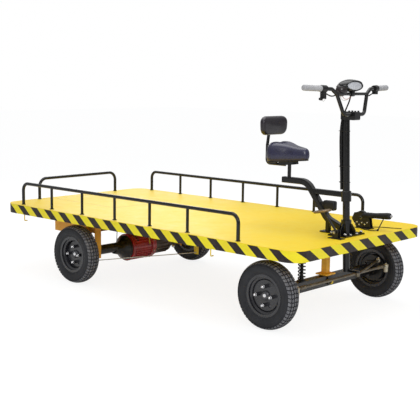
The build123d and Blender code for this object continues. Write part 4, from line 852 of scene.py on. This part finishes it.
# %% Grips
SLEEVE = [(12.8, 16), (17, 16)]
for rib in range(22):
    a = 20 + rib * 5.2
    SLEEVE += [(18.6, a), (19, a + 1.2), (19, a + 3), (18, a + 4.2)]
SLEEVE += [(19.2, 138), (20.5, 142), (20.5, 156), (19, 158), (12.8, 158)]
TIP = [(0, -4), (6, -4), (6.8, -3), (13, -2.4), (17.2, 1), (18.6, 5), (17.8, 7.5), (18.8, 10), (17.8, 12.5),
       (18.4, 16), (12.8, 16)]
COLLAR = [(12.8, 159), (21.5, 159), (23.2, 161.5), (23.2, 166), (20.5, 169), (20.5, 173), (22.8, 175),
          (22.8, 183.5), (12.8, 183.5)]
BAR_TURN, BAR_END = Vector((1.346, 0.222, 1.532)), Vector((1.312, 0.48, 1.54))
for side, word in ((1, "left"), (-1, "right")):
    end = Vector((BAR_END.x, side * BAR_END.y, BAR_END.z))
    inward = (Vector((BAR_TURN.x, side * BAR_TURN.y, BAR_TURN.z)) - end).normalized()
    for name, outline, paint, slot in (
            ("sleeve", SLEEVE, "grey_grip", "grip"), ("end", TIP, "grey_grip", "grip"),
            ("collar", COLLAR, "satin_black", "plastic_black")):
        turned = aimed(lathe(f"grip_{name}_{word}", outline, 30), end, end + inward)
        done(turned, paint, "steering", 40)
        if name == "sleeve":
            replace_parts(turned, "grips")
print("grips end", [round(c, 3) for c in BAR_END])

# %% Switch button, wires and bar cables
button = lathe("horn_button", [(0, 0), (6.6, 0), (8.2, 1.4), (8.6, 5), (7.2, 6.2), (7.2, 10), (10, 11.2),
    (10, 23)], 24)
button = aimed(button, (1.334, -0.337, 1.47), (1.336, -0.3, 1.47))
done(button, "black_plastic", "steering", 40)
BAR_WIRES = (      # name, radius in mm, finish, points
    ("switch_lead", 1.4, "cable_grey",
     [(1.331, -0.3, 1.464), (1.331, -0.298, 1.457), (1.334, -0.291, 1.453), (1.337, -0.286, 1.459),
      (1.34, -0.282, 1.47)]),
    ("throttle_cable", 4.2, "soft_rubber",
     [(1.338, -0.296, 1.512), (1.336, -0.262, 1.5), (1.338, -0.222, 1.486), (1.344, -0.19, 1.488),
      (1.349, -0.172, 1.498)]),
    ("brake_switch_cable", 4.2, "soft_rubber",
     [(1.338, 0.296, 1.512), (1.336, 0.262, 1.5), (1.338, 0.222, 1.486), (1.344, 0.19, 1.488),
      (1.349, 0.172, 1.498)]),
    ("gauge_lead_orange", 1.7, "orange_sleeve",
     [(1.33, -0.08, 1.488), (1.334, -0.072, 1.472), (1.34, -0.05, 1.464), (1.346, -0.026, 1.47),
      (1.35, -0.01, 1.486)]),
    ("gauge_lead_white", 1.5, "cable_grey",
     [(1.322, -0.092, 1.49), (1.326, -0.086, 1.466), (1.334, -0.064, 1.456), (1.342, -0.036, 1.462),
      (1.348, -0.014, 1.482)]),
    ("gauge_lead_black", 3, "soft_rubber",
     [(1.33, -0.104, 1.496), (1.334, -0.122, 1.484), (1.342, -0.14, 1.484), (1.348, -0.158, 1.492)]),
    ("lamp_cable", 5, "soft_rubber",
     [(1.346, -0.006, 1.492), (1.344, -0.012, 1.46), (1.338, -0.03, 1.42), (1.328, -0.036, 1.392),
      (1.318, -0.03, 1.372)]),
)
for name, radius, paint, points in BAR_WIRES:
    wire(name, points, radius * MM, paint, "steering")

# %% Cables down the column
COLUMN_FOOT_X, COLUMN_LEAN = 1.345, 0.041912


def column_x(z):
    """The column leans back, so its middle moves with height."""
    return COLUMN_FOOT_X - (z - DECK_TOP) * COLUMN_LEAN


def down_column(*spots):
    """Points beside the column: how far behind its middle, to the side, and the height."""
    return [(column_x(z) - behind, y, z) for behind, y, z in spots]


main_run = [(1.3, -0.02, 1.352), (1.29, -0.012, 1.318)] + down_column(
    (0.0305, -0.011, 1.27), (0.0305, -0.012, 1.19), (0.031, -0.013, 1.11), (0.031, -0.013, 1.03),
    (0.0305, -0.012, 0.96), (0.0305, -0.011, 0.91)) + [(column_x(0.87) - 0.031, -0.01, 0.864)]
harness = wire("column_harness", main_run, 0.0098, "soft_rubber", "steering")
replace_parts(harness, "cable_bundle")
brake_run = [(1.302, -0.03, 1.35), (1.292, -0.028, 1.3)] + down_column(
    (0.031, -0.026, 1.22), (0.03, -0.027, 1.12), (0.029, -0.025, 1.02),
    (0.027, -0.02, 0.93)) + [(column_x(0.885) - 0.025, -0.018, 0.88)]
wire("column_brake_cable", brake_run, 0.005, "soft_rubber", "steering")
strap = ring_points([(0.0, 0.0, 0.0262), (-0.036, -0.011, 0.0118), (-0.027, -0.026, 0.007)], 28)
for index, height in enumerate((1.255, 1.02, 0.915)):
    wire(f"cable_tie_{index}", [(column_x(height) + x, y, height) for x, y in strap], 0.0021, "black_plastic",
        "steering", closed=True)

# %% [markdown]
# ## The seat's frame
# A square tube runs forward under the saddle, bends down, and sweeps forward again into the foot of the mast.
# A short arm with a collar holds it to the column, which turns in the collar with a little room.
# The tube is a rounded square carried along a path; at each bend the path follows an arc.

# %% Square tube along a path
def bent_path(points, radius, steps=12):
    """The points of a path with an arc at every corner."""
    spots = [Vector(points[0])]
    for before, corner, after in zip(points, points[1:], points[2:]):
        before, corner, after = Vector(before), Vector(corner), Vector(after)
        back, on = (before - corner).normalized(), (after - corner).normalized()
        half = back.angle(on) / 2
        centre = corner + (back + on).normalized() * radius / math.sin(half)
        first, last = (corner + way * radius / math.tan(half) - centre for way in (back, on))
        spots += [centre + first.slerp(last, step / steps).normalized() * radius for step in range(steps + 1)]
    return spots + [Vector(points[-1])]


def square_run(name, spots, half, corner):
    """A rounded square swept along a path that lies in the XZ plane."""
    profile = ring_points(corner_circles(half, half, corner), 32)
    rings = []
    for index, here in enumerate(spots):
        along = (spots[min(index + 1, len(spots) - 1)] - spots[max(index - 1, 0)]).normalized()
        across = Vector((-along.z, 0.0, along.x))
        rings.append([here + across * u + Vector((0.0, v, 0.0)) for u, v in profile])
    run = skin(name, rings, capped=True)
    edit_all()
    close_edit()
    return run


# %% Seat frame
SEAT_PATH = [(0.8, 0.0, 0.89), (1.012, 0.0, 0.89), (1.19, 0.0, 0.652), (1.304, 0.0, 0.606)]
COLLAR_LOW, COLLAR_HIGH, FOOT_WIDER = 0.786, 0.856, 7.0
SEAT_COLLAR = [(25.6, 0), (32.2, 0), (34, 1.8), (34, 68.2), (32.2, 70), (25.6, 70), (25.6, 0)]


def straight(name, start, end, half, corner):
    """A straight square run."""
    return square_run(name, [Vector(start), Vector(end)], half, corner)


seat_run = square_run("seat_run", bent_path(SEAT_PATH, 0.105), 0.021, 0.005)
seat_arm = straight("seat_arm", (1.062, 0.0, 0.831), (1.304, 0.0, 0.831), 0.018, 0.004)
seat_strut = straight("seat_strut", (1.196, 0.0, 0.568), (1.196, 0.0, 0.65), 0.015, 0.003)
seat_foot = straight("seat_foot", (1.15, 0.0, 0.565), (1.24, 0.0, 0.565), 0.005, 0.001)
for vertex in seat_foot.data.vertices:
    vertex.co.y *= FOOT_WIDER
collar_ends = [(column_x(z), 0.0, z) for z in (COLLAR_LOW, COLLAR_HIGH)]
seat_collar = aimed(lathe("seat_collar", SEAT_COLLAR, 48), *collar_ends)
seat_frame = done(joined([seat_run, seat_arm, seat_strut, seat_foot, seat_collar], "seat_square_tube"),
    "gloss_black", "chassis", 40)
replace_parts(seat_frame, "seat_frame")
print("seat path", SEAT_PATH[0], SEAT_PATH[-1])

# %% [markdown]
# ## The parking brake
# The toothed plates and the lever's bar are in the construction model.
# An arched cover, a rubber boot and a ribbed grip with a pale release button go over them.

# %% Cover, boot and grip
BRAKE_Y, PIVOT = 0.33, Vector((1.25, 0.33, 0.636))
cover = lathe("parking_brake_cover", [(30, -12.5), (44, -12.5), (46.2, -10.5), (47.2, 0), (46.2, 10.5),
    (44, 12.5), (30, 12.5), (30, -12.5)], 48, PIVOT, "Y")
done(cover, "satin_black", "chassis", 40)
boot = lathe("parking_brake_boot", [(12, -12), (21.5, -10), (23.5, 6), (21.5, 20), (22.5, 30), (20.5, 45),
    (21.5, 56), (19.5, 72), (19.5, 100), (17.5, 108), (12, 108)], 32)
GRIP_START, GRIP_END = Vector((1.27, BRAKE_Y, 0.65)), Vector((1.494, BRAKE_Y, 0.668))
grip_way = (GRIP_END - GRIP_START).normalized()
done(aimed(boot, GRIP_START, GRIP_END), "soft_rubber", "chassis", 50)
outline = [(14, 0), (19, 0)]
for rib in range(9):
    a, r = 6 + rib * 9.8, rib * 0.4
    outline += [(18.8 + r, a), (20.2 + r, a + 2.2), (20.2 + r, a + 5.8), (18.8 + r, a + 8)]
outline += [(22.5, 96.5), (23, 104), (20.5, 112), (12, 116.5), (8.2, 117)]
brake_grip = aimed(lathe("parking_brake_grip", outline, 32), GRIP_START + grip_way * 0.096, GRIP_END + grip_way)
done(brake_grip, "soft_rubber", "chassis", 50)
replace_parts(brake_grip, "hand_brake_lever")
done(aimed(lathe("parking_brake_button", [(7.8, -4), (7.8, 8.5), (6.4, 11.2), (0, 11.8)], 24),
    GRIP_END - grip_way * 0.0115, GRIP_END + grip_way), "grey_grip", "chassis", 40)
RIVETS = ((1.204, 0.588), (1.222, 0.602), (1.24, 0.584), (1.262, 0.6), (1.286, 0.59), (1.306, 0.604),
    (1.25, 0.636))
for index, (x, z) in enumerate(RIVETS):
    bolt_head(f"parking_brake_rivet_{index}", (x, BRAKE_Y - 0.0185, z), (0, -1, 0), 4.8 if index < 6 else 7.8,
        3.5, "bright_chrome")
wire("parking_brake_rod", [(1.43, BRAKE_Y, 0.653), (1.427, 0.322, 0.638), (1.414, 0.291, 0.58),
    (1.411, 0.284, 0.566)], 0.004, "satin_black", "chassis")
ball = lathe("parking_brake_rod_end", [(0, -7), (5, -6), (7.8, -1), (7.8, 3), (5, 7), (0, 8)], 20,
    (1.411, 0.284, 0.568))
done(ball, "soft_rubber", "chassis", 60)
wire("brake_cable_short", [(1.262, 0.296, 0.567), (1.292, 0.272, 0.5632), (1.35, 0.256, 0.5632),
    (1.392, 0.262, 0.5632), (1.409, 0.28, 0.567)], 0.0026, "soft_rubber", "chassis")
wire("brake_cable_long", [(1.3, 0.352, 0.57), (1.3, 0.4, 0.5634), (1.35, 0.444, 0.5634), (1.42, 0.462, 0.5634),
    (1.478, 0.486, 0.5634)], 0.0026, "soft_rubber", "chassis")

# %% [markdown]
# ## The brake pedal
# The pad is an oval rubber block with cross ribs in a thin rolled rim, made level and then tilted.

# %% Pedal rim and ribs
PAD_TILT = Matrix.Translation((1.268, -0.172, 0.72)) @ Matrix.Rotation(math.radians(-13.0), 4, "Y")
PAD_HALF_LENGTH, PAD_HALF_WIDTH, PAD_THICK = 0.062, 0.038, 0.016


def pedal_oval(rise, inset, count):
    """A ring round the pad at a height over its underside, tilted as the pad is."""
    off = PAD_HALF_LENGTH - PAD_HALF_WIDTH
    oval = ring_points([(s * off, 0.0, PAD_HALF_WIDTH - inset) for s in (1, -1)], count)
    return [PAD_TILT @ Vector((x, y, rise)) for x, y in oval]


PAD_RINGS = ((0.0, 0.006), (0.001, 0.001), (0.008, 0.0), (0.014, 0.001), (PAD_THICK, 0.005))
rings = [pedal_oval(rise, inset, 32) for rise, inset in PAD_RINGS]
pedal_block = done(padded_form("pedal_block", rings, 1), "pedal_rubber", "chassis", 60)
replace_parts(pedal_block, "pedal_pad")
wire("pedal_rolled_rim", pedal_oval(0.01, 0.0, 28), 0.005, "pedal_rim", "chassis", closed=True)
ribs = []
for index in range(6):
    x = (index - 2.5) * 0.017
    size = (0.0075, 0.058 - 0.014 * abs(index - 2.5) / 2.5, 0.006)
    rib = block(f"pedal_rib_{index}", (x, 0.0, PAD_THICK + 0.001), size, 0.0018)
    rib.data.transform(PAD_TILT)
    ribs.append(rib)
done(joined(ribs, "pedal_ribs"), "pedal_rubber", "chassis", 40)

# %% [markdown]
# ## Bolts
# Bolts show at the mast's foot, on the front axle and at the pedal, and the control box hangs by the seat's
# frame.

# %% Bolts and the control box
for index, (x, y) in enumerate(((-0.0545, -0.094), (0.0545, -0.094), (0.0545, 0.094), (-0.0545, 0.094))):
    bolt_head(f"mast_foot_bolt_{index}", (COLUMN_FOOT_X + x, y, 0.5788), (0, 0, 1), 8.8, 6.5, "bright_chrome")
for index, (x, y) in enumerate(((1.4, -0.03), (1.4, 0.045))):
    bolt_head(f"mast_front_bolt_{index}", (x, y, 0.5698), (0, 0, 1), 7.8, 6.2, "bright_chrome")
bolt_head("axle_pivot_bolt", (1.215, 0.018, 0.215), (1, 0, 0), 15, 18, "hook_paint")
for index, y in enumerate((-0.185, 0.185)):
    bolt_head(f"axle_plate_bolt_{index}", (1.215, y, 0.224), (1, 0, 0), 8.5, 8, "joint_steel")
bolt_head("pedal_pivot_bolt", (1.384, -0.2015, 0.604), (0, -1, 0), 7.8, 6, "joint_steel")
BOX_LOW, BOX_HIGH = Vector((1.15, -0.014, 0.711)), Vector((1.246, 0.032, 0.777))
case = block("control_case", (BOX_LOW + BOX_HIGH) / 2, BOX_HIGH - BOX_LOW, 0.013, 4)
arm = block("control_arm", (1.13, 0.004, 0.744), (0.08, 0.036, 0.044), 0.003)
control_case = done(joined([case, arm], "control_case"), "black_plastic", "chassis", 40)
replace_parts(control_case, "control_box")
print("control box", [round(c, 3) for c in BOX_LOW])

# %% [markdown]
# ## Rod ends
# The track rod and the drag link turn in ball joints: a turned housing with a nut on top.
# A clamp sleeve locks the rod behind it.

# %% Ball joints and clamps
TRACK_X, TRACK_Y, TRACK_Z = 1.34, 0.525, 0.272
ROD_SLEEVE = [(9, -40), (12.2, -40), (13.2, -37), (13.2, -16), (11.7, -14), (11.7, 2), (13.7, 4), (13.7, 18),
    (12.2, 20), (9, 20)]
ROD_JOINT = [(0, 225), (10, 225), (15.6, 230), (16.8, 238), (16.8, 262), (18.2, 265), (18.2, 279), (16, 283),
    (9, 286.5), (6.2, 287), (6.2, 292), (0, 292.5)]
tube = lathe("track_rod", [(0, -512), (9.5, -512), (9.5, 512), (0, 512)], 26, (TRACK_X, 0.0, TRACK_Z), "Y")
sleeves = [tube]
for side, word in ((1, "left"), (-1, "right")):
    sleeves.append(lathe("track_rod_sleeve_" + word, ROD_SLEEVE, 26, (TRACK_X, side * 0.455, TRACK_Z), "Y"))
    housing = lathe("track_rod_joint_" + word, ROD_JOINT, 28, (TRACK_X, side * TRACK_Y, 0.0))
    done(housing, "joint_steel", "tie_rod", 40)
track_rod = done(joined(sleeves, "track_rod"), "rod_steel", "tie_rod", 40)
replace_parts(track_rod, "tie_rod")
drag_end = lathe("drag_link_joint", [(0, -18), (9, -18), (14, -13), (15, 0), (14, 12), (8, 16.5), (6, 17.2),
    (6, 23), (0, 23.5)], 26, (1.275, 0.525, 0.302))
done(drag_end, "joint_steel", "drag_link", 40)

# %% [markdown]
# ## The drive motor
# The motor is a dark red drum between the axle's black bell and the brown-grey gear case.
# Seen from below the drum hangs a little lower than the axle, so bell, drum and case share a lower middle line.
# Each is turned on the lathe, and one cooling fin is copied round the drum and another round the case.

# %% Bell, drum and case
MOTOR_MIDDLE = Vector((-0.715, 0.0, 0.211))
bell = lathe("motor_bell", [(36, -262), (41, -245), (49, -215), (64, -185), (84, -164), (97, -154), (99, -148),
    (99, -134), (60, -134)], 56, MOTOR_MIDDLE, "Y")
done(bell, "axle_paint", "chassis", 40)
drum = lathe("motor_drum", [(70, -134), (106, -134), (110.5, -130), (110.5, -112), (108, -109), (101, -107),
    (101, 72), (108, 74), (110.5, 78), (110.5, 116), (104, 126), (70, 126)], 64, MOTOR_MIDDLE, "Y")
case = lathe("gear_case", [(70, 126), (94, 126), (98, 130), (98, 146), (86, 150), (80, 240), (76, 296),
    (84, 300), (84, 314), (70, 318), (52, 372), (44, 398), (42, 424), (30, 424)], 56, MOTOR_MIDDLE, "Y")


def finned(body, count, radius, start, end, width, height):
    """Sets a ring of long fins on a drum that lies along Y."""
    place = MOTOR_MIDDLE + Vector((0.0, (start + end) / 2, radius))
    fin = block("fin", place, (width, end - start, height), width * 0.28, 1)
    pieces = [body]
    for index in range(count):
        turn = Matrix.Rotation(2 * math.pi * index / count, 4, "Y") @ Matrix.Translation(-MOTOR_MIDDLE)
        pieces.append(copied(fin, f"fin_{index}", MOTOR_MIDDLE, turn))
    bpy.data.objects.remove(fin)
    return joined(pieces, body.name)


motor = done(finned(drum, 30, 0.1035, -0.108, 0.074, 0.005, 0.011), "motor_paint", "chassis", 30)
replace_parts(motor, "drive_motor")
gear_case = done(finned(case, 16, 0.08, 0.148, 0.3, 0.006, 0.02), "gearcase_metal", "chassis", 30)
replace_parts(gear_case, "gearcase")
SCREW_CIRCLE, SCREW_Y = 0.1095, Vector((0.0, 0.097, 0.0))
for index in range(8):
    a = 2 * math.pi * (index + 0.5) / 8
    way = Vector((math.sin(a), 0.0, math.cos(a)))
    bolt_head(f"motor_screw_{index}", MOTOR_MIDDLE + SCREW_Y + way * SCREW_CIRCLE, way, 5.5, 4.5, "joint_steel")
breather = lathe("gear_case_plug", [(0, 16), (6, 14.5), (10.5, 10), (12.5, 3), (12.5, -6), (0, -6)], 24)
done(aimed(breather, (-0.64, 0.345, 0.172), (-0.56, 0.345, 0.13)), "bright_chrome", "chassis", 40)
print("motor reaches", round(MOTOR_MIDDLE.z - 0.1105, 4))

# %% [markdown]
# ## Rods and leads under the deck
# A yellow tab hangs under the middle of the deck. Thin rods run back from it to the rear wheels' brake levers.
# A dark lead drops from the deck to the axle, and a short yellow one to the motor.

# %% Brake rods, tab and motor leads
RELAY_X = -0.0405
ROD_RUN = [(RELAY_X, 0.004, 0.246), (RELAY_X, 0.016, 0.246), (-0.2, 0.168, 0.226), (-0.5, 0.466, 0.19),
    (-0.632, 0.574, 0.171), (-0.641, 0.581, 0.17)]
DRUM_LEVER = [(0, 0), (7, 0), (8.5, 4), (6, 16), (6, 52), (10.5, 62), (10.5, 70), (0, 71)]
tab = block("brake_tab", (RELAY_X, 0.0, 0.374), (0.044, 0.008, 0.284), 0.002)
done(tab, "hook_paint", "chassis", 40)
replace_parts(tab, "brake_relay")
rods = []
for side, word in ((1, "left"), (-1, "right")):
    rods.append(wire("brake_rod_" + word, [(x, side * y, z) for x, y, z in ROD_RUN], 0.0034, "cable_grey",
        "chassis"))
    lever = lathe("drum_lever_" + word, DRUM_LEVER, 20)
    lever = aimed(lever, (-0.641, side * 0.581, 0.164), (-0.641, side * 0.59, 0.235))
    done(lever, "satin_black", "chassis", 40)
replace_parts(joined(rods, "brake_rods_thin"), "brake_rods")
lead = wire("axle_lead", [(-0.66, -0.25, 0.52), (-0.678, -0.25, 0.42), (-0.685, -0.25, 0.335),
    (-0.687, -0.25, 0.29), (-0.69, -0.25, 0.25)], 0.003, "soft_rubber", "chassis")
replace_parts(lead, "motor_cable")
wire("motor_lead", [(-0.61, 0.015, 0.52), (-0.604, 0.018, 0.4), (-0.6, 0.022, 0.3), (-0.598, 0.028, 0.27),
    (-0.604, 0.04, 0.232)], 0.0042, "hook_paint", "chassis")
print("rods from", RELAY_X)
